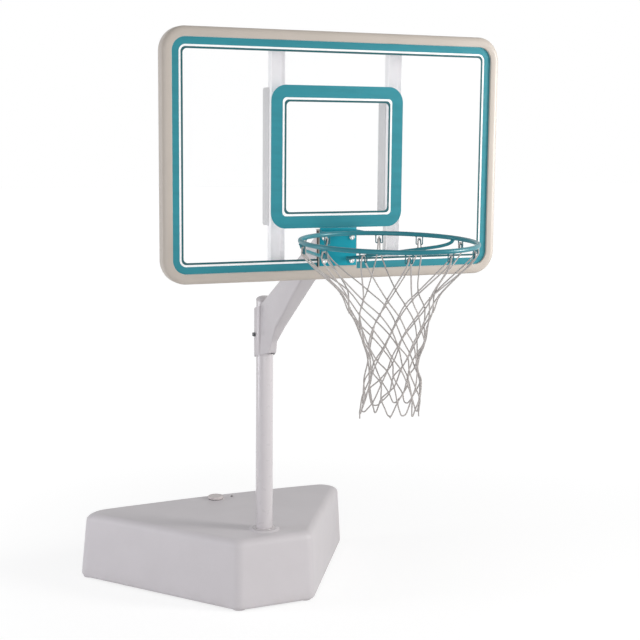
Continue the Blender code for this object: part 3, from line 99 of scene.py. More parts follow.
BRACE_RADIUS, BRACE_FOOT_X, BRACE_FOOT_ABOVE_PLATE = 0.0046, 0.030, 0.020
BRACE_RISE_SHARE, BRACE_BEND_SHARE, BRACE_ANGLE = 0.64, 0.80, radians(15)

HOOK_ANGLES = [radians(angle) for angle in (14.5, 42.5, 71, 97, 132, 160)]
HOOK_PLACES = [-pi / 2 + angle for angle in HOOK_ANGLES]
HOOK_PLACES += [-pi / 2 + tau - angle for angle in HOOK_ANGLES[::-1]]
HOOK_COUNT = len(HOOK_PLACES)
HOOK_WIRE, HOOK_HALF, HOOK_DEPTH, HOOK_TURN, HOOK_HUMP_TOP = 0.0015, 0.0095, 0.0205, 0.0027, 0.0076
NET_CORD, NET_CLEARANCE, NET_DROP, NET_LENGTH = 0.0020, 0.0004, 0.024, 0.457
# Each row of knots: drop as a share of the length, spread against the ring, sideways drift
NET_ROWS = (
    (0.275, 0.560, 0.004), (0.370, 0.472, 0.007), (0.462, 0.407, 0.011), (0.550, 0.354, 0.016),
    (0.632, 0.312, 0.018), (0.712, 0.292, 0.019), (0.795, 0.316, 0.017), (0.880, 0.333, 0.011),
    (0.968, 0.330, 0.006),
)
LAST_ROW = len(NET_ROWS) - 1
# Each bottom loop: how much lower than its even place it hangs, and how wide it opens
NET_LOOPS = (
    (-0.001, 1.0), (0.002, 1.6), (-0.014, 0.7), (0.001, 1.2), (-0.006, 2.0), (-0.018, 0.8),
    (-0.010, 1.0), (-0.012, 1.7), (0.001, 0.6), (-0.006, 1.4), (0.001, 1.1), (-0.012, 1.9),
)
# Loose cord ends: the loop that each hangs from, its length, and how far it leans
NET_TAILS = ((6, 0.007, 0.003), (3, 0.016, -0.007), (9, 0.015, 0.008))

# Details that only the render has, in metres, apart from the two counts of strands
WALL_WANDER, WALL_RIPPLE = 0.0006, 0.00005
SHEET_EDGE, CHANNEL_EDGE, CHANNEL_BEND, BRACKET_EDGE = 0.0006, 0.0005, 0.0045, 0.0009
WELD_RADIUS, WELD_SINK, KNOT_SIZE = 0.0019, 0.0006, 0.0013
STRANDS_PER_METRE, STRANDS_ROUND = 210, 4
# Between sleeve and arm: the top of the long weld, and the low and high end of the short one
ARM_SEAM_TOP_Z, ARM_TACK_Z = 0.8712, (0.9320, 0.9375)

# The camera that was solved from the photograph, with lens and sensor in millimetres
CAMERA_PLACE = (-1.6028, -4.0449, 1.5634)
CAMERA_YAW, CAMERA_PITCH, CAMERA_ROLL = radians(24.0), radians(8.09), radians(0.52)
CAMERA_LENS, CAMERA_SENSOR = 75.375, 36


# Objects
def place_mesh(name, bm, *materials):
    bmesh.ops.recalc_face_normals(bm, faces=bm.faces)
    mesh = bpy.data.meshes.new(name)
    bm.to_mesh(mesh)
    bm.free()
    piece = bpy.data.objects.new(name, mesh)
    bpy.context.scene.collection.objects.link(piece)
    for material in materials:
        mesh.materials.append(material)
    return piece


def bake(piece):
    depsgraph = bpy.context.evaluated_depsgraph_get()
    mesh = bpy.data.meshes.new_from_object(piece.evaluated_get(depsgraph))
    piece.modifiers.clear()
    piece.data = mesh


def carve(piece, bm, operation="DIFFERENCE"):
    tool = place_mesh("carving_tool", bm)
    step = piece.modifiers.new("carve", "BOOLEAN")
    step.object = tool
    step.operation = operation
    step.solver = "EXACT"
    bake(piece)
    bpy.data.objects.remove(tool)


def soften(piece, width, segments=3, angle=40):
    step = piece.modifiers.new("edge", "BEVEL")
    step.width = width
    step.segments = segments
    step.limit_method = "ANGLE"
    step.angle_limit = radians(angle)
    step.use_clamp_overlap = True
    bake(piece)


def set_piece(piece, replaced=(), body="carriage", angle=35):
    """Smooth a piece, let it ride on its body, and have it stand for the nodes it replaces."""
    piece.data.shade_smooth()
    piece.data.set_sharp_from_angle(angle=radians(angle))
    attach(piece, body)
    if replaced:
        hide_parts(*replaced)


def lay(name, bm, material, *replaced, body="carriage"):
    set_piece(place_mesh(name, bm, material), replaced, body)


# Shapes
def bridge(bm, first, second):
    pairs = list(zip(first, second))
    return [bm.faces.new((a, c, d, b)) for (a, b), (c, d) in zip(pairs, pairs[1:] + pairs[:1])]


def loft(rings, caps=True):
    """A skin through the rings, closed by flat ends or, without caps, back to the first ring."""
    bm = bmesh.new()
    loops = [[bm.verts.new(point) for point in ring] for ring in rings]
    for first, second in zip(loops, loops[1:]):
        bridge(bm, first, second)
    if caps:
        bm.faces.new(loops[0][::-1])
        bm.faces.new(loops[-1])
    else:
        bridge(bm, loops[-1], loops[0])
    return bm


def merge(*parts):
    bm = bmesh.new()
    for part in parts:
        mesh = bpy.data.meshes.new("part")
        part.to_mesh(mesh)
        part.free()
        bm.from_mesh(mesh)
        bpy.data.meshes.remove(mesh)
    return bm


def moved(bm, matrix):
    bmesh.ops.transform(bm, matrix=matrix, verts=bm.verts)
    return bm


def shifted(bm, x, y, z=0):
    return moved(bm, Matrix.Translation((x, y, z)))


def at(place, direction):
    """The matrix that takes the Z axis to a place and a direction."""
    return Matrix.Translation(place) @ Vector(direction).to_track_quat("Z", "Y").to_matrix().to_4x4()


def polar(radius, angle, z=0.0):
    return Vector((radius * cos(angle), radius * sin(angle), z))


def tangent(angle):
    return Vector((-sin(angle), cos(angle), 0))


def circle(radius, z, sides):
    return [polar(radius, tau * step / sides, z) for step in range(sides)]


def cylinder(radius, low, high, sides=48):
    return loft([circle(radius, low, sides), circle(radius, high, sides)])


def turned(profile, sides):
    """Turn a closed (radius, z) profile all the way round Z."""
    return loft([[polar(radius, tau * step / sides, z) for radius, z in profile]
                 for step in range(sides)], caps=False)


def solid_turned(profile, sides):
    """Turn an open (radius, z) profile into a solid with flat ends."""
    return loft([circle(radius, z, sides) for radius, z in profile])


def box(low, high):
    return loft([[(low[0], low[1], z), (high[0], low[1], z), (high[0], high[1], z), (low[0], high[1], z)]
                 for z in (low[2], high[2])])


def facing(outline, y):
    """An (x, z) outline stood up at the depth y."""
    return [(x, y, z) for x, z in outline]


def arc_points(centre, radius, start, end, steps):
    points = []
    for step in range(steps + 1):
        angle = start + (end - start) * step / steps
        points.append((centre[0] + radius * cos(angle), centre[1] + radius * sin(angle)))
    return points


def rounded_corners(corners, radius, steps):
    points = []
    count = len(corners)
    for index in range(count):
        here = Vector(corners[index])
        back = (Vector(corners[index - 1]) - here).normalized()
        ahead = (Vector(corners[(index + 1) % count]) - here).normalized()
        half = back.angle(ahead) / 2
        centre = here + (back + ahead).normalized() * (radius / sin(half))
        start = here + back * (radius / tan(half)) - centre
        sweep = pi - 2 * half
        for step in range(steps + 1):
            points.append(centre + Matrix.Rotation(sweep * step / steps, 2) @ start)
    return points


def inset_outline(corners, distance):
    lines = []
    count = len(corners)
    for index in range(count):
        here = Vector(corners[index])
        along = (Vector(corners[(index + 1) % count]) - here).normalized()
        lines.append((here + Vector((-along.y, along.x)) * distance, along))
    result = []
    for index in range(count):
        place, along = lines[index - 1]
        other, direction = lines[index]
        cross = along.x * direction.y - along.y * direction.x
        offset = other - place
        share = (offset.x * direction.y - offset.y * direction.x) / cross
        result.append(place + along * share)
    return result


def rectangle(width, height, centre):
    across = width / 2
    return [
        (-across, centre - height / 2), (across, centre - height / 2),
        (across, centre + height / 2), (-across, centre + height / 2),
    ]


def between(first, second, low, high, t):
    return first * ((high - t) / (high - low)) + second * ((t - low) / (high - low))


def spline(points, steps):
    """A smooth curve through the points."""
    points = [Vector(point) for point in points]
    points = [points[0] * 2 - points[1], *points, points[-1] * 2 - points[-2]]
    result = []
    for p0, p1, p2, p3 in zip(points, points[1:], points[2:], points[3:]):
        knots = [0.0]
        for a, b in ((p0, p1), (p1, p2), (p2, p3)):
            knots.append(knots[-1] + max((b - a).length, 1e-6) ** 0.5)
        k0, k1, k2, k3 = knots
        for step in range(steps):
            t = k1 + (k2 - k1) * step / steps
            a1 = between(p0, p1, k0, k1, t)
            a2 = between(p1, p2, k1, k2, t)
            a3 = between(p2, p3, k2, k3, t)
            result.append(between(between(a1, a2, k0, k2, t), between(a2, a3, k1, k3, t), k1, k2, t))
    result.append(points[-2])
    return result


def tube(points, radius, sides, closed=False, bm=None, taper=()):
    """A round rod along a path, whose UV map runs along it in metres and once round it."""
    points = [Vector(point) for point in points]
    count = len(points)
    bm = bm or bmesh.new()
    uv = bm.loops.layers.uv.verify()
    loops = []
    run = [0.0]
    side = None
    for index, point in enumerate(points):
        before = points[index - 1] if closed or index else point
        after = points[(index + 1) % count] if closed or index < count - 1 else point
        along = (after - before).normalized()
        if side is None:
            side = along.orthogonal().normalized()
        side = (side - along * side.dot(along)).normalized()
        other = along.cross(side)
        size = radius * (taper[index] if taper else 1.0)
        loops.append([
            bm.verts.new(point + (side * cos(angle) + other * sin(angle)) * size)
            for angle in (tau * step / sides for step in range(sides))
        ])
        if index:
            run.append(run[-1] + (point - points[index - 1]).length)
    run.append(run[-1] + (points[0] - points[-1]).length)
    for index in range(count if closed else count - 1):
        for step, face in enumerate(bridge(bm, loops[index], loops[(index + 1) % count])):
            for loop, (ahead, turn) in zip(face.loops, ((0, 0), (0, 1), (1, 1), (1, 0))):
                loop[uv].uv = (run[index + ahead], (step + turn) / sides)
    if not closed:
        bm.faces.new(loops[0][::-1])
        bm.faces.new(loops[-1])
    return bm


def blob(place, size, squeeze, detail, roughness):
    """A rounded lump, such as a weld."""
    bm = bmesh.new()
    bmesh.ops.create_icosphere(bm, subdivisions=detail, radius=size)
    for vert in bm.verts:
        swell = 1 + roughness * noise.noise(vert.co / size * 1.7 + place * 90)
        vert.co = Vector((vert.co.x * squeeze[0], vert.co.y * squeeze[1], vert.co.z * squeeze[2])) * swell
    return shifted(bm, *place)


# Materials
def connect(tree, socket, value):
    if isinstance(value, bpy.types.NodeSocket):
        tree.links.new(value, socket)
    else:
        socket.default_value = value


def add_node(tree, kind, settings=None, **inputs):
    made = tree.nodes.new(kind)
    for key, value in (settings or {}).items():
        setattr(made, key, value)
    for key, value in inputs.items():
        connect(tree, made.inputs[key.replace("_", " ")], value)
    return made


def coordinates(tree, kind="Object"):
    return add_node(tree, "ShaderNodeTexCoord").outputs[kind]


def height_in(tree, where):
    return add_node(tree, "ShaderNodeSeparateXYZ", Vector=where).outputs[2]


def mix_colour(tree, share, first, second):
    made = add_node(tree, "ShaderNodeMix", {"data_type": "RGBA"})
    for socket, value in ((0, share), (6, first), (7, second)):
        connect(tree, made.inputs[socket], value)
    return made.outputs[2]


def grain(tree, scale, detail=2.0, rough=0.5, stretch=None, distortion=0.0):
    """Noise over the piece's own coordinates, with scale in cells per metre."""
    where = coordinates(tree)
    if stretch:
        where = add_node(tree, "ShaderNodeMapping", Vector=where, Scale=stretch).outputs[0]
    return add_node(tree, "ShaderNodeTexNoise", Vector=where, Scale=scale, Detail=detail,
                    Roughness=rough, Distortion=distortion).outputs[0]


def ranged(tree, value, low, high, to_low=0.0, to_high=1.0):
    return add_node(tree, "ShaderNodeMapRange", {"interpolation_type": "SMOOTHSTEP"}, Value=value,
                    From_Min=low, From_Max=high, To_Min=to_low, To_Max=to_high).outputs[0]


def patches(tree, scale, detail, rough, low, high, to_low=0.0, to_high=1.0, **shape):
    """Soft patches: the grain's values from low to high, eased to another range."""
    return ranged(tree, grain(tree, scale, detail, rough, **shape), low, high, to_low, to_high)


def gloss(tree, scale, low, high):
    """Roughness that varies in patches between two limits."""
    return patches(tree, scale, 3, 0.6, 0.3, 0.7, low, high)


def maths(tree, operation, first, second=0.0):
    made = add_node(tree, "ShaderNodeMath", {"operation": operation})
    connect(tree, made.inputs[0], first)
    connect(tree, made.inputs[1], second)
    return made.outputs[0]


def bump(tree, height, strength, distance, normal=None):
    made = add_node(tree, "ShaderNodeBump", Height=height, Strength=strength, Distance=distance)
    if normal is not None:
        tree.links.new(normal, made.inputs["Normal"])
    return made.outputs[0]


def start_material(name, **sockets):
    material = bpy.data.materials.new(name)
    material.use_nodes = True
    tree = material.node_tree
    for key, value in sockets.items():
        tree.nodes["Principled BSDF"].inputs[key.replace("_", " ")].default_value = value
    return material, tree


def link(material, **sockets):
    tree = material.node_tree
    for key, value in sockets.items():
        tree.links.new(value, tree.nodes["Principled BSDF"].inputs[key.replace("_", " ")])
    return material


def shade(colour, factor):
    return (*[min(1.0, channel * factor) for channel in colour], 1.0)


def mottled(tree, share, colour, mottle):
    return mix_colour(tree, share, shade(colour, 1 - mottle), shade(colour, 1 + mottle))


def stain(tree, tone, mask, amount, colour):
    """Lay a colour over the tone where the mask is, no stronger than the amount."""
    return mix_colour(tree, maths(tree, "MULTIPLY", mask, amount), tone, colour)


def moulded(name, colour, roughness, peel, mottle, scuffs=0.0, low_darkening=0.0):
    """Moulded plastic: orange peel, cloudy colour, faint scuffs, and brownish patches that darken it low
    down.
    """
    material, tree = start_material(name, Specular_IOR_Level=0.5)
    cloud = patches(tree, 7, 3, 0.55, 0.35, 0.65)
    tone = mix_colour(tree, cloud, shade(colour, 1 - mottle), shade(colour, 1 + mottle * 0.6))
    tone = stain(tree, tone, patches(tree, 420, 2, 0.6, 0.30, 0.70), 0.22, shade(colour, 0.90))
    if scuffs:
        streak = patches(tree, 60, 5, 0.65, 0.62, 0.74, stretch=(0.35, 0.35, 1.6), distortion=0.8)
        tone = stain(tree, tone, streak, scuffs, shade(colour, 0.66))
    # Brownish patches darken the lowest 55 mm of the piece.
    if low_darkening:
        low = ranged(tree, height_in(tree, coordinates(tree)), 0.0, 0.055, 1.0, 0.0)
        patch = maths(tree, "MULTIPLY", low, patches(tree, 22, 4, 0.6, 0.38, 0.68))
        tone = stain(tree, tone, patch, low_darkening, (0.33, 0.30, 0.27, 1))
    fine = bump(tree, grain(tree, 620, 2, 0.5), peel, 0.0004)
    wave = bump(tree, grain(tree, 11, 2, 0.5), peel * 0.7, 0.0022, fine)
    return link(material, Base_Color=tone, Normal=wave,
                Roughness=gloss(tree, 30, roughness - 0.01, roughness + 0.01))


def coated(name, colour, roughness, coat, mottle=0.02, specular=0.5, polish=0.16, peel=1.0):
    """Powder coat on steel: faint clouds, and a relief, rubs and chips that all grow with peel."""
    material, tree = start_material(name, Coat_Weight=coat, Coat_Roughness=polish,
                                    Specular_IOR_Level=specular)
    tone = mottled(tree, patches(tree, 9, 2, 0.5, 0.35, 0.65), colour, mottle)
    rub = patches(tree, 42, 4, 0.65, 0.68, 0.80, distortion=0.6)
    tone = stain(tree, tone, rub, 0.05 * peel, shade(colour, 0.75))
    chip = patches(tree, 420, 2, 0.5, 0.80, 0.84)
    tone = stain(tree, tone, chip, 0.20 * peel, shade(colour, 0.70))
    fine = bump(tree, grain(tree, 900, 2, 0.5), 0.18 * peel, 0.0002)
    wave = bump(tree, grain(tree, 45, 2, 0.5), 0.06 * peel, 0.0008, fine)
    return link(material, Base_Color=tone, Normal=wave,
                Roughness=gloss(tree, 55, roughness - 0.04 * peel, roughness + 0.06 * peel))


def ink(name, colour, mottle=0.05):
    """Screen-printed ink: faint squeegee streaks and pin holes."""
    material, tree = start_material(name, Specular_IOR_Level=0.45)
    streak = patches(tree, 26, 4, 0.6, 0.35, 0.65, stretch=(0.25, 1.0, 2.2))
    holes = patches(tree, 520, 2, 0.6, 0.70, 0.78)
    tone = stain(tree, mottled(tree, streak, colour, mottle), holes, 0.30, shade(colour, 1.5))
    return link(material, Base_Color=tone, Roughness=gloss(tree, 80, 0.29, 0.42),
                Normal=bump(tree, grain(tree, 700, 2, 0.5), 0.12, 0.0002))


def plated(name, colour):
    """Zinc-plated steel with a faint crystal pattern."""
    material, tree = start_material(name, Metallic=1.0)
    cells = add_node(tree, "ShaderNodeTexVoronoi", Vector=coordinates(tree), Scale=420.0).outputs["Color"]
    level = add_node(tree, "ShaderNodeSeparateXYZ", Vector=cells).outputs[0]
    return link(material, Base_Color=mottled(tree, level, colour, 0.10),
                Roughness=gloss(tree, 240, 0.20, 0.40),
                Normal=bump(tree, grain(tree, 1200, 3, 0.6), 0.25, 0.00015))


def braided(name, colour):
    """Braided nylon cord: two sets of strands that wind round it in opposite ways."""
    material, tree = start_material(name, Sheen_Weight=0.25, Sheen_Roughness=0.5, Specular_IOR_Level=0.35)
    where = add_node(tree, "ShaderNodeUVMap").outputs["UV"]
    parts = add_node(tree, "ShaderNodeSeparateXYZ", Vector=where).outputs
    along = maths(tree, "MULTIPLY", parts[0], tau * STRANDS_PER_METRE)
    turn = maths(tree, "MULTIPLY", parts[1], tau * STRANDS_ROUND)
    left, right = (maths(tree, "SINE", maths(tree, way, along, turn)) for way in ("ADD", "SUBTRACT"))
    height = ranged(tree, maths(tree, "MAXIMUM", left, right), -0.6, 1.0)
    # Painted shade: the grooves between the strands are coloured darker than their crowns; the same height
    # also drives the bump.
    tone = mix_colour(tree, height, shade(colour, 0.74), shade(colour, 1.04))
    tone = stain(tree, tone, patches(tree, 35, 4, 0.6, 0.35, 0.70), 0.30, shade(colour, 0.80))
    return link(material, Base_Color=tone, Roughness=patches(tree, 300, 2, 0.5, 0.3, 0.7, 0.55, 0.75),
                Normal=bump(tree, height, 0.8, 0.0004))


def clear_sheet(name):
    """Clear polycarbonate: seen through, and more opaque and whiter at a slant, a painted sheen on top of its
    own reflections.
    """
    material, tree = start_material(name, Roughness=0.05, IOR=1.58)
    slant = add_node(tree, "ShaderNodeLayerWeight", Blend=0.35).outputs["Fresnel"]
    haze = patches(tree, 9, 4, 0.6, 0.35, 0.75, 0.0, 0.02, stretch=(1.0, 1.0, 0.3))
    cover = maths(tree, "ADD", maths(tree, "MULTIPLY", slant, 0.22), haze)
    tint = patches(tree, 5, 2.0, 0.5, 0.3, 0.7)
    return link(material, Alpha=maths(tree, "ADD", cover, 0.02),
                Roughness=patches(tree, 130, 3, 0.6, 0.55, 0.75, 0.04, 0.12, stretch=(0.2, 1.0, 1.0)),
                Base_Color=mix_colour(tree, tint, (0.93, 0.97, 0.97, 1), (0.97, 0.99, 0.99, 1)))


def rubbery(name, colour, roughness):
    """Matt rubber with a thin film of dust."""
    material, tree = start_material(name, Specular_IOR_Level=0.3)
    dust = patches(tree, 150, 4, 0.65, 0.40, 0.75)
    return link(material, Base_Color=stain(tree, shade(colour, 1.0), dust, 0.5, shade(colour, 2.2)),
                Roughness=gloss(tree, 90, roughness - 0.1, roughness + 0.1),
                Normal=bump(tree, grain(tree, 1000, 3, 0.6), 0.3, 0.0002))


def watery(name):
    material, tree = start_material(name, Roughness=0.05, IOR=1.33, Alpha=0.55)
    ripple = grain(tree, 30, 3, 0.5)
    tone = mix_colour(tree, ranged(tree, ripple, 0.3, 0.7), (0.30, 0.48, 0.52, 1), (0.45, 0.62, 0.66, 1))
    return link(material, Base_Color=tone, Normal=bump(tree, ripple, 0.4, 0.002))


BASE_GREY = (0.600, 0.572, 0.590)
FRAME_GREY = (0.490, 0.440, 0.390)
COAT_WHITE = (0.545, 0.515, 0.530)
TEAL = (0.014, 0.220, 0.270)
DEEP_TEAL = (0.010, 0.190, 0.235)
HOOK_TEAL = (0.006, 0.120, 0.150)
PLATE_TEAL = (0.001, 0.275, 0.355)

tank_plastic = moulded("tank_plastic", BASE_GREY, 0.50, peel=0.12, mottle=0.018, scuffs=0.08,
                       low_darkening=0.14)
frame_plastic = moulded("frame_plastic", FRAME_GREY, 0.42, peel=0.16, mottle=0.03, scuffs=0.08)
grey_plastic = moulded("grey_plastic", (0.52, 0.49, 0.50), 0.26, peel=0.08, mottle=0.03)
cap_plastic = moulded("cap_plastic", (0.55, 0.505, 0.50), 0.44, peel=0.12, mottle=0.03)
# Dark grey plastic; the hidden pole saddle takes it too, as painted shade that makes the slit between sleeve
# and arm show dark.
vent_and_slit_shade_plastic = moulded("vent_and_slit_shade_plastic", (0.26, 0.25, 0.25), 0.45, peel=0.12, mottle=0.05)
white_coat = coated("white_coat", COAT_WHITE, 0.34, coat=0.20, mottle=0.012)
# Painted light: the pole's coat is the white coat made 4 % lighter, for the stronger light that falls on the
# pole.
pole_coat = coated("pole_coat", shade(COAT_WHITE, 1.04)[:3], 0.28, coat=0.95, mottle=0.010,
                   polish=0.12, peel=0.2)
# Painted light: the uprights are coloured near white, far lighter than the arm's white coat, for the light
# that washes over them behind the clear panel.
upright_painted_light_coat = coated("upright_painted_light_coat", (0.95, 0.94, 0.955), 0.38, coat=0.10, mottle=0.012)
stiffener_coat = coated("stiffener_coat", (0.62, 0.615, 0.622), 0.42, coat=0.05, mottle=0.012)
teal_coat = coated("teal_coat", DEEP_TEAL, 0.32, coat=0.12, mottle=0.04, specular=0.35)
hook_coat = coated("hook_coat", HOOK_TEAL, 0.34, coat=0.10, mottle=0.04, specular=0.30)
plate_coat = coated("plate_coat", PLATE_TEAL, 0.40, coat=0.05, mottle=0.03, specular=0.25)
teal_ink = ink("teal_ink", TEAL)
line_ink = ink("line_ink", (0.006, 0.090, 0.105))
white_ink = ink("white_ink", (0.93, 0.93, 0.93), mottle=0.01)
zinc = plated("zinc", (0.78, 0.77, 0.75))
dark_steel = coated("dark_steel", (0.045, 0.050, 0.055), 0.38, coat=0.2)
gasket_rubber = rubbery("gasket_rubber", (0.035, 0.035, 0.035), 0.7)
# gap_shadow is painted shade: a near-black matt colour for the shadowed gap beside the pad, laid on the pad's
# side faces.
gap_shadow = rubbery("gap_shadow", (0.030, 0.022, 0.018), 0.8)
cord_nylon = braided("cord_nylon", (0.50, 0.468, 0.45))
clear_plastic = clear_sheet("clear_plastic")
water = watery("water")


# Ballast tank
def deck_height(x, y):
    back = (y + TANK_FRONT) / (TANK_REAR + TANK_FRONT)
    across = x / TANK_REAR_HALF
    return TANK_HEIGHT + DECK_RISE * back + DECK_CROWN * (1 - across ** 2)


BOSS_TOP = deck_height(0, 0) + SOCKET_BOSS_RISE
SEAT_TOP = deck_height(MOUTH_X, MOUTH_Y) + MOUTH_SEAT_RISE
BASE_TURN = Matrix.Rotation(TANK_TURN, 4, "Z")


def at_mouth(bm):
    return shifted(bm, MOUTH_X, MOUTH_Y)


def tank_outline(inset, radius, share, corner_steps, edge_steps):
    corners = rounded_corners(inset_outline(TANK_CORNERS, inset), radius, corner_steps)
    per_corner = corner_steps + 1
    points = []
    for index, steps in enumerate(edge_steps):
        points += corners[index * per_corner:(index + 1) * per_corner]
        start = points[-1]
        finish = corners[(index + 1) * per_corner % len(corners)]
        points += [start.lerp(finish, step / steps) for step in range(1, steps)]
    middle = Vector((0, (TANK_REAR - TANK_FRONT) / 2))
    return [middle.lerp(point, share) for point in points]


def tank_skin(wall, fillet_steps, wall_steps, deck_steps, corner_steps, edge_steps):
    """The tank's outside, or its inside where a wall is given."""
    corner = TANK_CORNER_RADIUS - wall
    top = TANK_DECK_RADIUS - wall
    low = FOOT_HEIGHT + wall

    def level(inset, z=None, below=0.0, share=1.0):
        outline = tank_outline(inset, corner, share, corner_steps, edge_steps)
        return [Vector((x, y, deck_height(x, y) - below if z is None else z)) for x, y in outline]

    rings = []
    for step in range(fillet_steps + 1):
        angle = pi / 2 * step / fillet_steps
        rings.append(level(wall + TANK_BOTTOM_RADIUS * (1 - sin(angle)),
                           z=low + TANK_BOTTOM_RADIUS * (1 - cos(angle))))
    foot = rings[-1]
    head = level(wall + TANK_DRAFT, below=wall + top)
    for step in range(1, wall_steps):
        share = step / wall_steps
        rings.append([a.lerp(b, share) for a, b in zip(foot, head)])
    for step in range(fillet_steps * 2 + 1):
        angle = pi / 2 * step / (fillet_steps * 2)
        rings.append(level(wall + TANK_DRAFT + top * (1 - cos(angle)),
                           below=wall + top * (1 - sin(angle))))
    inset = wall + TANK_DRAFT + top
    for step in range(1, deck_steps):
        rings.append(level(inset, below=wall, share=1 - step / deck_steps))
    return loft(rings)


def sink_walls(bm):
    """Blown walls are never quite flat, so they wander by a few tenths of a millimetre."""
    bmesh.ops.recalc_face_normals(bm, faces=bm.faces)
    bm.normal_update()
    for vert in bm.verts:
        if vert.co.z > FOOT_HEIGHT + TANK_BOTTOM_RADIUS:
            drift = noise.noise(vert.co * 7.5) * WALL_WANDER + noise.noise(vert.co * 22) * WALL_RIPPLE
            vert.co += vert.normal * drift
    return bm


def foot_pad(x, y, radius):
    edge = FOOT_HEIGHT * 0.45
    profile = [(radius - edge, 0)]
    profile += arc_points((radius - edge, edge), edge, -pi / 2, 0, 6)[1:]
    profile += [(radius, FOOT_HEIGHT + TANK_WALL / 2)]
    return shifted(solid_turned(profile, 64), x, y)


def vent_rim():
    """The raised collar round the breather hole."""
    z = deck_height(VENT_X, VENT_Y)
    inner, outer, rise = VENT_RADIUS, VENT_RADIUS * 1.7, 0.0042
    profile = [(inner, z - 0.001), (outer + 0.0006, z - 0.001), (outer + 0.0006, z + 0.0004)]
    profile += [(outer, z + 0.0010), (outer, z + rise - 0.0008), (outer - 0.0008, z + rise)]
    profile += [(inner + 0.0004, z + rise), (inner, z + rise - 0.0004)]
    return shifted(turned(profile, 40), VENT_X, VENT_Y)


def build_tank():
    skin = sink_walls(tank_skin(0, 6, 12, 56, 14, (16, 44, 72, 44)))
    tank = place_mesh("tank_shell", skin, tank_plastic)
    hollow = place_mesh("tank_hollow", tank_skin(TANK_WALL, 3, 2, 6, 6, (4, 8, 14, 8)))
    carve(hollow, cylinder(SOCKET_RADIUS + TANK_WALL, 0, BOSS_TOP, 96))
    bm = bmesh.new()
    bm.from_mesh(hollow.data)
    bpy.data.objects.remove(hollow)
    carve(tank, bm)

    foot = SOCKET_BOSS_RADIUS + 0.006
    deck = deck_height(0, 0)
    edge = 0.0018
    collar = [(SOCKET_RADIUS, deck - TANK_WALL / 2), (foot, deck - TANK_WALL / 2), (foot, deck - 0.0002)]
    for share in (0.25, 0.5, 0.75):
        ease = share * share * (3 - 2 * share)
        collar.append((foot - 0.0048 * share, deck + 0.0026 * ease))
    collar += arc_points((SOCKET_BOSS_RADIUS - edge, BOSS_TOP - edge), edge, 0, pi / 2, 6)
    collar += [(SOCKET_RADIUS, BOSS_TOP)]
    seat = MOUTH_SEAT_RADIUS
    rim = [(MOUTH_RADIUS, SEAT_TOP - TANK_WALL), (seat + 0.003, SEAT_TOP - TANK_WALL),
           (seat + 0.003, SEAT_TOP - MOUTH_SEAT_RISE - 0.0003), (seat, SEAT_TOP - 0.0003),
           (seat - 0.0006, SEAT_TOP), (MOUTH_RADIUS, SEAT_TOP)]
    carve(tank, merge(
        cylinder(SOCKET_RADIUS, SOCKET_FLOOR, BOSS_TOP + 0.01, 96),
        at_mouth(cylinder(MOUTH_RADIUS, SEAT_TOP - 0.012, SEAT_TOP + 0.01, 64)),
        shifted(cylinder(VENT_RADIUS, SEAT_TOP - 0.02, SEAT_TOP + 0.01, 24), VENT_X, VENT_Y),
    ))
    feet = [foot_pad(x, y, FOOT_RADIUS) for x, y in inset_outline(TANK_CORNERS, FOOT_INSET)]
    feet.append(foot_pad(0, 0, POLE_PAD_RADIUS))
    tank.data.transform(BASE_TURN)
    set_piece(tank, ["base_tank"], "base", 40)
    for name, bm, material in (("tank_collar", turned(collar, 128), tank_plastic),
                               ("tank_mouth_seat", at_mouth(turned(rim, 96)), tank_plastic),
                               ("tank_feet", merge(*feet), tank_plastic),
                               ("tank_vent_rim", vent_rim(), vent_and_slit_shade_plastic)):
        lay(name, moved(bm, BASE_TURN), material, body="base")


def build_cap():
    """The screw cap, with a scalloped grip and its hollow threaded plug."""
    low = SEAT_TOP + GAP + GASKET_THICKNESS + GAP
    top = low + CAP_HEIGHT
    plug = MOUTH_RADIUS - 0.0004
    bore = plug - CAP_PLUG_WALL
    edge, root = 0.0006, plug - 0.0007
    count = CAP_LOBES * 16

    def ring(radius, z, lobe=0.0):
        points = []
        for step in range(count):
            angle = tau * step / count
            dip = CAP_LOBE_DEPTH * lobe * (0.5 - 0.5 * cos(CAP_LOBES * angle)) ** 1.6
            points.append(polar(radius - dip, angle, z))
        return points

    rings = [ring(bore, low - CAP_PLUG_DEPTH), ring(plug - edge, low - CAP_PLUG_DEPTH)]
    for step in range(1, 40):
        crest = max(0.0, sin(tau * step / 10)) * edge
        rings.append(ring(root + crest, low - CAP_PLUG_DEPTH * (1 - step / 40)))
    rings += [ring(root, low), ring(CAP_RADIUS - edge, low, 1), ring(CAP_RADIUS, low + edge, 1)]
    for step in range(9):
        angle = pi / 2 * step / 8
        radius = CAP_RADIUS - CAP_EDGE_RADIUS * (1 - cos(angle))
        rings.append(ring(radius, top - CAP_EDGE_RADIUS * (1 - sin(angle)), 1 - step / 8))
    for radius, dip in ((0.021, 0), (0.019, 0), (0.0185, edge), (0.014, edge), (0.008, edge), (0.003, edge)):
        rings.append(ring(radius, top - dip))
    cap = place_mesh("cap_shell", at_mouth(loft(rings)), cap_plastic)
    carve(cap, at_mouth(cylinder(bore - 0.0003, low - CAP_PLUG_DEPTH - 0.004, top - CAP_PLUG_WALL, 64)))
    cap.data.transform(BASE_TURN)
    set_piece(cap, ["fill_cap"], "cap")


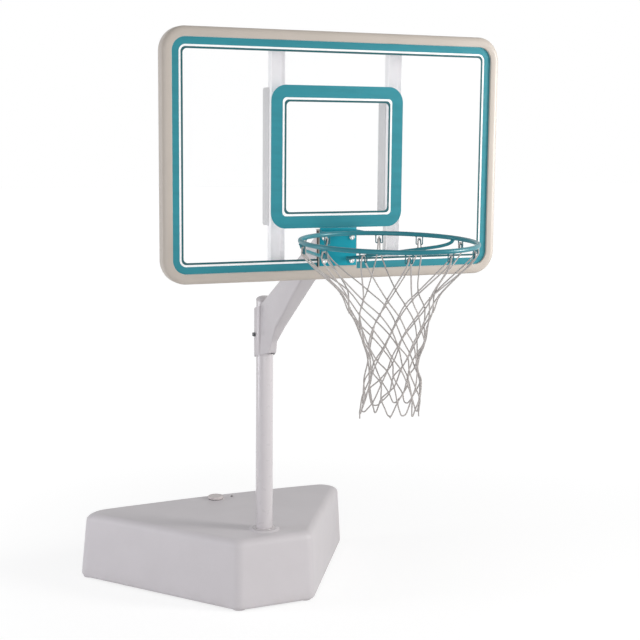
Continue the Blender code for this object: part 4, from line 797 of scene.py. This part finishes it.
# Pole and sleeve
def build_pole():
    inner = POLE_RADIUS - POLE_WALL
    edge = 0.0005
    profile = [
        (inner, POLE_BOTTOM_Z), (POLE_RADIUS - edge, POLE_BOTTOM_Z), (POLE_RADIUS, POLE_BOTTOM_Z + edge),
        (POLE_RADIUS, POLE_TOP_Z - edge), (POLE_RADIUS - edge, POLE_TOP_Z), (inner, POLE_TOP_Z),
    ]
    lay("pole_skin", turned(profile, 160), pole_coat, "pole_tube", body="pole")

    seat = POLE_TOP_Z + GAP
    rim = POLE_RADIUS + POLE_CAP_LIP
    plug = inner - GAP
    low = POLE_TOP_Z - POLE_CAP_INSERT
    profile = [(plug * 0.6, low), (plug, low), (plug, seat), (rim - 0.0004, seat), (rim, seat + edge)]
    for step in range(1, 20):
        angle = pi / 2 * step / 20
        rise = (POLE_CAP_DOME - edge) * sin(angle)
        profile.append((rim * cos(angle) ** 0.85, seat + edge + rise))
    lay("pole_dome", solid_turned(profile, 96), grey_plastic, "pole_top_cap", body="pole")


def sleeve_top(y):
    return SLEEVE_TOP_Z - SLEEVE_TOP_SLOPE * y


def sleeve_bottom(y):
    return SLEEVE_BOTTOM_Z - SLEEVE_BOTTOM_SLOPE * y


def sleeve_arc(radius):
    past = asin((SLEEVE_FRONT - SEAM) / radius)
    return arc_points((0, 0), radius, -past, pi + past, 96)


def build_sleeve():
    path = sleeve_arc(SLEEVE_RADIUS) + sleeve_arc(SLEEVE_RADIUS - SLEEVE_SHEET)[::-1]
    rings = [[(x, y, edge(y)) for x, y in path] for edge in (sleeve_bottom, sleeve_top)]
    sleeve = place_mesh("sleeve_skin", loft(rings), white_coat)
    carve(sleeve, moved(cylinder(LOCK_SCREW_RADIUS + GAP, 0, 0.08, 32), at((0, 0, LOCK_Z), (-1, 0, 0))))
    soften(sleeve, SHEET_EDGE)
    set_piece(sleeve, ["rear_sleeve"])


def build_lock_screw():
    """A square head with eased edges, on a threaded shank."""
    seat = SLEEVE_RADIUS + GAP
    half = LOCK_HEAD_ACROSS / 2
    outline = rounded_corners(rectangle(LOCK_HEAD_ACROSS, LOCK_HEAD_ACROSS, 0), 0.0012, 6)
    rings = []
    for inset, z in ((0.0005, 0.0), (0.0, 0.0005), (0.0, 0.0058), (0.0005, 0.0066),
                     (0.0014, LOCK_HEAD_THICKNESS)):
        share = 1 - inset / half
        rings.append([(x * share, y * share, seat + z) for x, y in outline])
    head = loft(rings)
    steps = 14 * 6
    low, high = POLE_RADIUS + GAP, seat + 0.001
    rings = []
    for step in range(steps + 1):
        crest = abs((step % 6) / 3 - 1) * 0.0005
        rings.append(circle(LOCK_SCREW_RADIUS - crest, low + (high - low) * step / steps, 32))
    screw = moved(merge(loft(rings), head), at((0, 0, LOCK_Z), (-1, 0, 0)))
    lay("lock_screw_body", screw, dark_steel, "lock_screw", body="lock")


# Arm
def arm_stations():
    """The arm's back edge and front web as (half width, y reach, z), and the bend between them."""
    end_y = -MOUNT_PLATE_Y - GAP
    slit = SLEEVE_FRONT + GAP
    half = sqrt(SLEEVE_RADIUS ** 2 - SLEEVE_FRONT ** 2)
    low_back = Vector((half, slit, sleeve_top(-slit)))
    high_back = Vector((ARM_TOP_HALF, end_y, RIM_PLATE_TOP_Z))
    return [
        (Vector((half, slit, sleeve_bottom(-slit))),
         Vector((ARM_TOE_HALF, ARM_TOE_Y, sleeve_bottom(-ARM_TOE_Y))), 0.0020),
        (Vector((half, slit, ARM_KNEE_Z)), Vector((ARM_KNEE_HALF, ARM_KNEE_Y, ARM_KNEE_Z)), 0.0035),
        (low_back, Vector((ARM_MID_HALF, ARM_MID_Y, ARM_MID_Z)), 0.0065),
        (low_back.lerp(high_back, ARM_BACK_SHARE),
         Vector((ARM_ELBOW_HALF, ARM_ELBOW_Y, ARM_ELBOW_Z)), 0.0075),
        (high_back, Vector((ARM_END_HALF, end_y, RIM_PLATE_LOW_Z)), 0.0075),
    ]


def arm_ring(back, front, bend):
    """One bent section of sheet: cheek, rounded corner, web, rounded corner, cheek."""
    origin = Vector((0, -back.y, back.z))
    reach = Vector((0, -front.y, front.z)) - origin
    length = reach.length
    along = reach / length
    corner = Vector((front.x, length))
    down_cheek = (corner - Vector((back.x, 0))).normalized()
    across = Vector((-1, 0))
    half = (-down_cheek).angle(across) / 2
    cut = min(bend / tan(half), front.x * 0.8)
    start = corner - down_cheek * cut
    centre = start + Vector((-down_cheek.y, down_cheek.x)) * (cut * tan(half))
    sweep = pi - 2 * half
    outer = [Vector((back.x, 0))]
    outer += [centre + Matrix.Rotation(sweep * step / 8, 2) @ (start - centre) for step in range(9)]
    inner = [Vector((back.x - ARM_SHEET, 0))]
    for index in range(1, len(outer)):
        ahead = (outer[index + 1] - outer[index - 1]).normalized() if index < len(outer) - 1 else across
        inner.append(outer[index] + Vector((-ahead.y, ahead.x)) * ARM_SHEET)
    mirrored = [(-u, v) for u, v in outer[::-1] + inner]
    return [origin + along * v + Vector((u, 0, 0)) for u, v in outer + mirrored + inner[::-1]]


def build_arm():
    stations = arm_stations()
    rings = []
    for (back, front, bend), (next_back, next_front, next_bend) in zip(stations, stations[1:]):
        for step in range(8):
            share = step / 8
            rings.append(arm_ring(back.lerp(next_back, share), front.lerp(next_front, share),
                                  bend + (next_bend - bend) * share))
    rings.append(arm_ring(*stations[-1]))
    arm = place_mesh("arm_skin", loft(rings), white_coat)
    soften(arm, SHEET_EDGE, 2)
    set_piece(arm, ["arm_channel"], angle=30)
    seams = []
    back = stations[0][0]
    for side in (-1, 1):
        for low, high in ((back.z + 0.0006, ARM_SEAM_TOP_Z), ARM_TACK_Z):
            points = [(side * (back.x - 0.0012), -back.y + 0.0012, low + (high - low) * step / 16)
                      for step in range(17)]
            taper = [0.75 + 0.25 * sin(step * 2.3) * (0 < step < 16) for step in range(17)]
            seams.append(tube(points, WELD_RADIUS, 12, taper=taper))
    lay("arm_welds", merge(*seams), white_coat)


def build_mount_plate():
    low = (-MOUNT_PLATE_HALF, FRAME_BACK_Y + GAP, RIM_PLATE_LOW_Z)
    high = (MOUNT_PLATE_HALF, MOUNT_PLATE_Y, RIM_PLATE_TOP_Z)
    plate = place_mesh("mount_plate_skin", box(low, high), white_coat)
    soften(plate, SHEET_EDGE, 2)
    set_piece(plate, ["arm_mount_plate"])


# Board
def board_outline(width, height, radius, centre=BOARD_Z):
    return rounded_corners(rectangle(width, height, centre), radius, 28)


def rim_bolt_places():
    return [(x, RIM_BOLT_Z + z) for x in (-RIM_BOLT_X, RIM_BOLT_X)
            for z in (-RIM_BOLT_SPACING_Z / 2, RIM_BOLT_SPACING_Z / 2)]


def build_frame():
    """The frame with its rounded section, the pad in two steps, and the bolt holes."""
    lip = 0.0016
    crown, depth = 0.0150, 0.0090
    section = [(0, FACE_Y - GAP)]
    section += arc_points((lip, FRAME_FRONT_Y + lip), lip, pi, 1.5 * pi, 5)
    section += [(FRAME_MARGIN - crown + crown * x, FRAME_FRONT_Y + depth + depth * y)
                for x, y in arc_points((0, 0), 1, -pi / 2, 0, 14)]
    section += arc_points((FRAME_MARGIN - lip, FRAME_BACK_Y - lip), lip, 0, pi / 2, 4)
    section += [(BODY_OFFSET, FRAME_BACK_Y), (BODY_OFFSET, FACE_Y - GAP)]
    rings = [facing(board_outline(PRINT_WIDTH + 2 * offset, PRINT_HEIGHT + 2 * offset,
                                  PRINT_CORNER_RADIUS + offset), y) for offset, y in section]
    body = place_mesh("frame_skin", loft(rings, caps=False), frame_plastic)

    low = FRAME_BOTTOM_Z + FRAME_MARGIN / 2
    face_back = FRAME_FRONT_Y + PAD_FACE_DEPTH
    blocks = ((PAD_HALF, PAD_TOP_Z, FRAME_FRONT_Y, face_back),
              (PAD_BODY_HALF, PAD_TOP_Z - PAD_CORNER_RADIUS, face_back - PAD_FACE_DEPTH / 2, FRAME_BACK_Y))
    for half, top, front, back in blocks:
        rings = []
        for inset, y in ((lip, front), (lip * 0.3, front + lip * 0.3), (0, front + lip), (0, back)):
            side, head = half - inset, top - inset
            corners = [(-side, low), (side, low), (side, head), (-side, head)]
            rings.append(facing(rounded_corners(corners, PAD_CORNER_RADIUS - inset, 8), y))
        carve(body, loft(rings), "UNION")
    carve(body, merge(*[
        moved(cylinder(RIM_BOLT_RADIUS + GAP, 0, 0.05, 32), at((x, FRAME_FRONT_Y - 0.005, z), (0, 1, 0)))
        for x, z in rim_bolt_places()
    ]))
    # The pad's side faces take gap_shadow: painted shade for the gap between the pad and the print.
    body.data.materials.append(gap_shadow)
    for face in body.data.polygons:
        on_side = abs(abs(face.center.x) - PAD_HALF) < 0.0004 and abs(face.normal.x) > 0.7
        if on_side and face.center.z > low + 0.004 and face.center.y < FACE_Y + 0.001:
            face.material_index = 1
    set_piece(body, ["backboard_frame"], angle=30)


def build_print():
    """The printed bands and lines and the white between them, the border's notched round the pad."""
    border = (PRINT_WIDTH, PRINT_HEIGHT, PRINT_CORNER_RADIUS, BOARD_Z)
    target = (TARGET_WIDTH, TARGET_HEIGHT, TARGET_CORNER_RADIUS, TARGET_Z)
    room = 0.0008
    low = (-PAD_HALF - room, FACE_Y - 0.01, FRAME_BOTTOM_Z)
    high = (PAD_HALF + room, FACE_Y + 0.01, PAD_TOP_Z + room)
    back = FACE_Y - GAP
    front = back - FILM_THICKNESS
    for size, name, node, offset, film_width, material in (
            (border, "border_film", "border_band", GAP, BORDER_WIDTH - GAP, teal_ink),
            (border, "border_line_film", "border_line", BORDER_WIDTH + BORDER_LINE_GAP, LINE_WIDTH, line_ink),
            (border, "border_gap_film", None, BORDER_WIDTH + GAP, BORDER_LINE_GAP - 2 * GAP, white_ink),
            (target, "target_film", "target_band", 0, TARGET_BAND, teal_ink),
            (target, "target_line_film", "target_line", TARGET_BAND + TARGET_LINE_GAP, LINE_WIDTH, line_ink),
            (target, "target_gap_film", None, TARGET_BAND + GAP, TARGET_LINE_GAP - 2 * GAP, white_ink)):
        width, height, radius, centre = size
        outer, inner = (
            board_outline(width - 2 * inset, height - 2 * inset, max(radius - inset, 0.0120), centre)
            for inset in (offset, offset + film_width))
        rings = [facing(outer, front), facing(inner, front), facing(inner, back), facing(outer, back)]
        film = place_mesh(name, loft(rings, caps=False), material)
        if size is border:
            carve(film, box(low, high))
        film.visible_shadow = False
        set_piece(film, [node] if node else ())


def bent_channel(x, half, front, back, low, high):
    """A C section open towards the front: two legs along y and a web across the back."""
    loops = []
    corner = (half - CHANNEL_BEND, back - CHANNEL_BEND)
    for inset in (0, UPRIGHT_SHEET):
        side = [(half - inset, front)] + arc_points(corner, CHANNEL_BEND - inset, 0, pi / 2, 6)
        loops.append(side + [(-across, y) for across, y in side[::-1]])
    path = loops[0] + loops[1][::-1]
    return shifted(loft([[(across, y, z) for across, y in path] for z in (low, high)]), x, 0)


def round_ends(channel, x, wide, back, low):
    """Trim the two back corners of the channel's side view to a radius."""
    radius, past = STIFFENER_END_RADIUS, 0.01
    for z, sign in ((low, 1), (low + STIFFENER_LENGTH, -1)):
        outline = arc_points((back - radius, z + sign * radius), radius, 0, -sign * pi / 2, 10)
        outline += [(back - radius, z - sign * past), (back + past, z - sign * past),
                    (back + past, z + sign * radius)]
        rings = [[(x + side * (wide + 0.005), y, height) for y, height in outline] for side in (-1, 1)]
        carve(channel, loft(rings))


def build_uprights():
    leg = PRINT_HEIGHT / 2 + BODY_OFFSET - 2 * GAP
    web_front = FRAME_BACK_Y + GAP
    web_back = web_front + UPRIGHT_SHEET
    half = UPRIGHT_WIDTH / 2
    back, front = web_back + STIFFENER_DEPTH, web_back - STIFFENER_LAP
    low = TARGET_Z - STIFFENER_LENGTH / 2
    wide = half + GAP + UPRIGHT_SHEET
    for name, x in (("left", -UPRIGHT_SPACING / 2), ("right", UPRIGHT_SPACING / 2)):
        bm = bent_channel(x, half, PANEL_BACK_Y + GAP, web_back, BOARD_Z - leg, BOARD_Z + leg)
        # The upright's near-white coat is painted light.
        upright = place_mesh(f"upright_{name}_skin", bm, upright_painted_light_coat)
        for side in (-1, 1):
            z0, z1 = sorted((BOARD_Z + side * (leg - 0.002), BOARD_Z + side * (leg + UPRIGHT_TAB)))
            carve(upright, box((x - half + 0.002, web_front, z0), (x + half - 0.002, web_back, z1)), "UNION")
        soften(upright, CHANNEL_EDGE, 2)
        set_piece(upright, [f"upright_{name}"])

        bm = bent_channel(x, wide, front, back, low, low + STIFFENER_LENGTH)
        channel = place_mesh(f"stiffener_{name}_skin", bm, stiffener_coat)
        round_ends(channel, x, wide, back, low)
        soften(channel, CHANNEL_EDGE, 2)
        set_piece(channel, [f"stiffener_{name}"])


# Rim
def rim_plane_z(y):
    return RIM_CENTRE_Z + tan(RIM_DROOP) * (y - RIM_CENTRE_Y)


def rim_point(angle, radius=RIM_RADIUS, drop=0.0):
    y = RIM_CENTRE_Y + radius * sin(angle)
    return Vector((radius * cos(angle), y, rim_plane_z(y) - drop))


def build_rim():
    low, high = RIM_PLATE_LOW_Z, RIM_PLATE_TOP_Z + RIM_PLATE_LIP
    corners = [(-RIM_PLATE_HALF, low), (RIM_PLATE_HALF, low), (RIM_PLATE_HALF, high), (-RIM_PLATE_HALF, high)]
    plate = loft([facing(corners, y) for y in (RIM_PLATE_FRONT_Y, RIM_PLATE_BACK_Y)])
    bracket = place_mesh("bracket_skin", plate, plate_coat)
    reach = RIM_RADIUS + RIM_ROD / 2 - 0.0012
    spread = asin(RIM_FLANGE_FRONT_HALF / reach)
    fold = RIM_PLATE_FRONT_Y + RIM_SHEET / 2
    outline = [(-RIM_PLATE_HALF, fold), (RIM_PLATE_HALF, fold)]
    for step in range(33):
        angle = pi / 2 - spread + 2 * spread * step / 32
        outline.append((reach * cos(angle), RIM_CENTRE_Y + reach * sin(angle)))
    rings = [[(x, y, rim_plane_z(y) + side) for x, y in outline] for side in (-RIM_SHEET / 2, RIM_SHEET / 2)]
    carve(bracket, loft(rings), "UNION")
    soften(bracket, BRACKET_EDGE, 3, 50)
    set_piece(bracket, ["rim_bracket"], angle=40)

    ring = tube([rim_point(tau * step / 240) for step in range(240)], RIM_ROD / 2, 32, closed=True)
    lay("ring_skin", ring, teal_coat, "rim_ring")

    beads = []
    for lift in (0.0024, -0.0024):
        points = []
        for step in range(49):
            angle = pi / 2 - spread * 0.97 + 2 * spread * 0.97 * step / 48
            ripple = 0.0004 * sin(step * 2.1)
            point = rim_point(angle, RIM_RADIUS + RIM_ROD / 2 - WELD_SINK + ripple)
            points.append(point + Vector((0, 0, lift)))
        taper = [0.55 + 0.45 * min(1.0, min(step, 48 - step) / 5) for step in range(49)]
        beads.append(tube(points, WELD_RADIUS, 10, taper=taper))
    lay("ring_welds", merge(*beads), teal_coat)


def brace_path(side):
    foot = Vector((side * BRACE_FOOT_X, RIM_PLATE_FRONT_Y - GAP, RIM_PLATE_LOW_Z + BRACE_FOOT_ABOVE_PLATE))
    angle = BRACE_ANGLE if side > 0 else pi - BRACE_ANGLE
    top = rim_point(angle, drop=RIM_ROD / 2 - WELD_SINK)
    bend = foot.lerp(top, BRACE_BEND_SHARE)
    bend.z = foot.z + (top.z - foot.z) * BRACE_RISE_SHARE
    below = Vector((top.x, top.y, bend.z + (bend.z - foot.z) * (1 / BRACE_BEND_SHARE - 1)))
    points = [foot.lerp(bend, share / 8) for share in range(8)]
    for step in range(17):
        share = step / 16
        points.append(bend.lerp(below, share).lerp(below.lerp(top, share), share))
    return points


def build_braces():
    welds = []
    for name, side in (("left", -1), ("right", 1)):
        points = brace_path(side)
        lay(f"brace_{name}_skin", tube(points, BRACE_RADIUS, 24), teal_coat, f"brace_{name}")
        welds.append(blob(points[0] + Vector((0, -0.0006, 0)), 0.0066, (1.0, 0.32, 1.0), 3, 0.14))
        welds.append(blob(points[-1] + Vector((0, 0, -0.0008)), 0.0056, (1.15, 1.15, 0.5), 3, 0.14))
    lay("brace_welds", merge(*welds), teal_coat)


def head_ring(radius, z, hexagon=0.0):
    """A ring that is round, hexagonal, or a share of the way between."""
    points = []
    for step in range(96):
        angle = tau * step / 96
        flat = (angle + pi / 6) % (pi / 3) - pi / 6
        points.append(polar(radius * (1 - hexagon) + radius / cos(flat) * hexagon, angle, z))
    return points


def build_bolts():
    """Hexagon flange bolts, with a chamfered head and a dished top."""
    half = RIM_BOLT_HEAD_ACROSS / 2
    top = RIM_BOLT_HEAD
    profile = (
        (half * 0.60, -top + 0.0007), (half * 0.72, -top + 0.0004), (half * 0.80, -top),
        (half * 0.99, -top + 0.0001), (half, -top + 0.0009, 1), (half, -RIM_BOLT_FLANGE - 0.0004, 1),
        (half * 1.06, -RIM_BOLT_FLANGE, 0.6), (RIM_BOLT_FLANGE_RADIUS - 0.0003, -0.0009),
        (RIM_BOLT_FLANGE_RADIUS, -0.0005), (RIM_BOLT_FLANGE_RADIUS, 0), (RIM_BOLT_RADIUS, 0),
        (RIM_BOLT_RADIUS, 0.0554), (RIM_BOLT_RADIUS * 0.8, 0.0562),
    )
    for number, (x, z) in enumerate(rim_bolt_places(), 1):
        place = at((x, RIM_PLATE_FRONT_Y - GAP, z), (0, 1, 0)) @ Matrix.Rotation(0.5 + 1.3 * number, 4, "Z")
        bolt = moved(loft([head_ring(*level) for level in profile]), place)
        lay(f"rim_bolt_{number}_body", bolt, zinc, f"rim_bolt_{number}")


# Hooks and net
def column_angle(column):
    """The angle of a column of the net, which may lie between two hooks."""
    low = floor(column)
    ends = [HOOK_PLACES[index % HOOK_COUNT] + tau * (index // HOOK_COUNT) for index in (low, low + 1)]
    return ends[0] + (ends[1] - ends[0]) * (column - low)


def hook_point(angle, across, down, out=0.0):
    base = rim_point(angle, RIM_RADIUS + out, RIM_ROD / 2 + GAP + down)
    return base + tangent(angle) * across


def build_hooks():
    turn_down = HOOK_DEPTH - HOOK_TURN
    inner = HOOK_HALF - 2 * HOOK_TURN
    half = [(-HOOK_HALF, -0.0022), (-HOOK_HALF, 0.004), (-HOOK_HALF, 0.011)]
    half += arc_points((-HOOK_HALF + HOOK_TURN, turn_down), HOOK_TURN, pi, 0, 8)
    half += arc_points((0, HOOK_HUMP_TOP + inner), inner, pi, 1.5 * pi, 6)
    path = half + [(-across, down) for across, down in reversed(half[:-1])]
    for number, angle in enumerate(HOOK_PLACES, 1):
        lean = SHUFFLE.uniform(-0.0012, 0.0012)
        points = [hook_point(angle, across + lean * max(0.0, down) / HOOK_DEPTH, down)
                  for across, down in path]
        wire = tube(spline(points, 3), HOOK_WIRE, 12)
        for side in (-1, 1):
            spot = hook_point(angle, side * HOOK_HALF, -0.0006)
            wire = merge(wire, blob(spot, 0.0026, (1, 1, 0.75), 2, 0.2))
        lay(f"hook_{number:02d}_wire", wire, hook_coat, f"net_hook_{number:02d}")


def net_point(column, row):
    """A knot's place, which wanders from its even one by seeded draws."""
    drop, spread, drift = NET_ROWS[row]
    angle = column_angle(column)
    draw = random.Random((round(column * 2) % 24) * 31 + row * 977)
    wander = 0.0035 + 0.0006 * row
    across, out, up = [draw.uniform(-1, 1) * wander * share for share in (1, 1, 1.1)]
    z = RIM_CENTRE_Z - RIM_ROD / 2 - HOOK_HUMP_TOP - NET_LENGTH * drop + up
    radius = RIM_RADIUS * spread + out
    point = Vector((drift + radius * cos(angle), RIM_CENTRE_Y + radius * sin(angle), z))
    return point + tangent(angle) * across


def net_leg(angle, side):
    """The cord from the top of a hook's hump down one side of it."""
    reach = HOOK_WIRE + NET_CORD + NET_CLEARANCE
    over = HOOK_HUMP_TOP - reach
    low = HOOK_DEPTH + HOOK_WIRE
    step = side * HOOK_HALF / 4
    above_brace = BRACE_ANGLE < angle < pi - BRACE_ANGLE
    drop = low + NET_DROP if above_brace else low
    out = -side * reach
    return [hook_point(angle, 0, over), hook_point(angle, step / 2, over + HOOK_WIRE, out),
            hook_point(angle, step, low / 2, out), hook_point(angle, 2 * step, drop, out)]


def loop_bottom(hook):
    """The lowest point of the loop that the hook's cord makes at the net's bottom."""
    return net_point(hook + len(NET_ROWS) / 2, LAST_ROW) - Vector((0, 0, NET_LOOPS[hook][0]))


def crossing(column, row, side):
    """Where a cord passes a knot, just outside or inside the cord that it crosses."""
    return net_point(column, row) + polar(1, column_angle(column)) * (side * NET_CORD * 0.55)


def net_path(hook):
    """One cord: from a hook down through its knots, round a bottom loop and up to another hook."""
    down, up = (
        net_leg(HOOK_PLACES[start % HOOK_COUNT], side)
        + [crossing(start + side * (row + 1) / 2, row, side) for row in range(LAST_ROW)]
        for start, side in ((hook, 1), (hook + LAST_ROW + 1, -1)))
    bottom = loop_bottom(hook)
    side = (up[-1] - down[-1]) * 0.14 * NET_LOOPS[hook][1]
    loop = [down[-1].lerp(bottom, 0.62) - side * 0.5, bottom - side * 0.55, bottom + side * 0.55,
            up[-1].lerp(bottom, 0.62) + side * 0.5]
    return down + loop + up[::-1]


def knot(place, angle, bm):
    """A small overhand knot, as a closed trefoil of cord."""
    points = []
    spin = Matrix.Rotation(angle, 3, "Z")
    for step in range(30):
        t = tau * step / 30
        flat = Vector(((cos(t) - 2 * cos(2 * t)) * 0.55, -sin(3 * t) * 0.9,
                       sin(t) + 2 * sin(2 * t)))
        points.append(place + spin @ (flat * KNOT_SIZE))
    tube(points, NET_CORD * 0.78, 8, closed=True, bm=bm)


def build_net():
    bm = bmesh.new()
    for hook in range(HOOK_COUNT):
        tube(spline(net_path(hook), 9), NET_CORD, 10, bm=bm)
    for row in range(LAST_ROW):
        for step in range(HOOK_COUNT):
            column = step + (row + 1) / 2 % 1
            knot(net_point(column, row), column_angle(column) - pi / 2, bm)
    for hook, length, lean in NET_TAILS:
        start = loop_bottom(hook) + Vector((0, 0, NET_CORD / 2))
        along = tangent(column_angle(hook + len(NET_ROWS) / 2))
        points = [start, start + along * lean * 0.4 + Vector((0, 0, -length * 0.5)),
                  start + along * lean + Vector((0, 0, -length))]
        tube(spline(points, 6), NET_CORD * 0.95, 10, bm=bm)
    lay("net_cords", bm, cord_nylon, "net")


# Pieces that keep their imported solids
def finish_nodes():
    finishes = {
        "ballast_water": water, "clear_panel": clear_plastic, "fill_gasket": gasket_rubber,
        # The saddle's dark plastic is painted shade: it darkens the slit between sleeve and arm.
        "pole_bushing": grey_plastic, "pole_foot_plug": grey_plastic, "pole_saddle": vent_and_slit_shade_plastic,
    }
    for number in range(1, 5):
        for kind in ("rim_nut", "rim_washer", "upright_screw"):
            finishes[f"{kind}_{number}"] = zinc
    for name, material in finishes.items():
        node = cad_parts[name]
        node.data.materials.clear()
        node.data.materials.append(material)


# Studio
def add_camera():
    """The photograph's camera, which looks to the right and down, with a small roll."""
    yaw, pitch, roll = CAMERA_YAW, CAMERA_PITCH, CAMERA_ROLL
    ahead = Vector((sin(yaw) * cos(pitch), cos(yaw) * cos(pitch), -sin(pitch)))
    right = Vector((cos(yaw), -sin(yaw), 0))
    up = right.cross(ahead)
    turned_right = right * cos(roll) + up * sin(roll)
    turned_up = up * cos(roll) - right * sin(roll)
    camera = bpy.data.objects.new("camera", bpy.data.cameras.new("camera"))
    bpy.context.scene.collection.objects.link(camera)
    rotation = Matrix((turned_right, turned_up, -ahead)).transposed().to_4x4()
    camera.matrix_world = Matrix.Translation(CAMERA_PLACE) @ rotation
    camera.data.sensor_width = CAMERA_SENSOR
    camera.data.lens = CAMERA_LENS
    bpy.context.scene.camera = camera


def add_lamp(name, place, target, size, power, colour, spread=180):
    lamp = bpy.data.lights.new(name, "AREA")
    lamp.spread = radians(spread)
    lamp.shape = "RECTANGLE"
    lamp.size, lamp.size_y = size
    lamp.energy = power
    lamp.color = colour
    holder = bpy.data.objects.new(name, lamp)
    bpy.context.scene.collection.objects.link(holder)
    holder.location = place
    holder.rotation_euler = (Vector(target) - Vector(place)).to_track_quat("-Z", "Y").to_euler()


def background_share(tree):
    """1 for rays from the camera, a mirror or through clear plastic, which see the plain backdrop."""
    path = tree.nodes.new("ShaderNodeLightPath")
    share = maths(tree, "MAXIMUM", path.outputs["Is Camera Ray"], path.outputs["Is Glossy Ray"])
    return maths(tree, "MAXIMUM", share, path.outputs["Is Transmission Ray"])


def mix_shaders(tree, share, first, second, output):
    mix = tree.nodes.new("ShaderNodeMixShader")
    for socket, value in zip(mix.inputs, (share, first.outputs[0], second.outputs[0])):
        tree.links.new(value, socket)
    tree.links.new(mix.outputs[0], tree.nodes.new(output).inputs[0])


def add_world():
    """Soft light that fades upwards, behind a white backdrop."""
    world = bpy.data.worlds.new("studio")
    bpy.context.scene.world = world
    world.use_nodes = True
    tree = world.node_tree
    tree.nodes.clear()
    level = ranged(tree, height_in(tree, coordinates(tree, "Generated")), 0.0, 0.85, 0.64, 0.36)
    lit = add_node(tree, "ShaderNodeBackground", Color=(1, 1, 1, 1), Strength=level)
    seen = add_node(tree, "ShaderNodeBackground", Color=(1, 1, 1, 1), Strength=1.0)
    mix_shaders(tree, background_share(tree), lit, seen, "ShaderNodeOutputWorld")


def add_floor():
    """A pale floor that turns white away from the object, and keeps the object's soft shadow: its glow is
    weaker near the object, a painted shade round it.
    """
    material = bpy.data.materials.new("floor")
    material.use_nodes = True
    tree = material.node_tree
    tree.nodes.clear()
    matt = add_node(tree, "ShaderNodeBsdfDiffuse", Color=(0.86, 0.86, 0.86, 1))
    away = add_node(tree, "ShaderNodeVectorMath", {"operation": "LENGTH"}, Vector=coordinates(tree))
    # Painted shade: the glow rises from 1.23 near the object to 1.46 from 3 m out.
    strength = ranged(tree, away.outputs["Value"], 0.6, 3.0, 1.23, 1.46)
    glow = add_node(tree, "ShaderNodeEmission", Color=(1, 1, 1, 1), Strength=strength)
    keep = maths(tree, "MULTIPLY", background_share(tree), 0.60)
    mix_shaders(tree, keep, matt, glow, "ShaderNodeOutputMaterial")
    bm = bmesh.new()
    bmesh.ops.create_grid(bm, x_segments=1, y_segments=1, size=30)
    ground = place_mesh("floor", bm, material)
    ground.location.z = -0.0005


build_tank()
build_cap()
build_pole()
build_sleeve()
build_lock_screw()
build_arm()
build_mount_plate()
build_frame()
build_print()
build_uprights()
build_rim()
build_braces()
build_bolts()
build_hooks()
build_net()
finish_nodes()
add_camera()
add_world()
add_floor()
add_lamp("key", (2.5, -1.8, 1.7), (0.4, -0.5, 1.6), (0.8, 1.2), 28, (1.0, 0.985, 0.965), 110)
add_lamp("side", (-3.1, 0.8, 1.1), (0, -0.1, 0.6), (0.9, 2.4), 32, (0.93, 0.94, 1.0))
add_lamp("front", (-1.6, -4.2, 1.0), (0, -0.3, 0.8), (2.0, 1.6), 44, (0.99, 0.98, 1.0))
bpy.context.scene.view_settings.view_transform = "Standard"
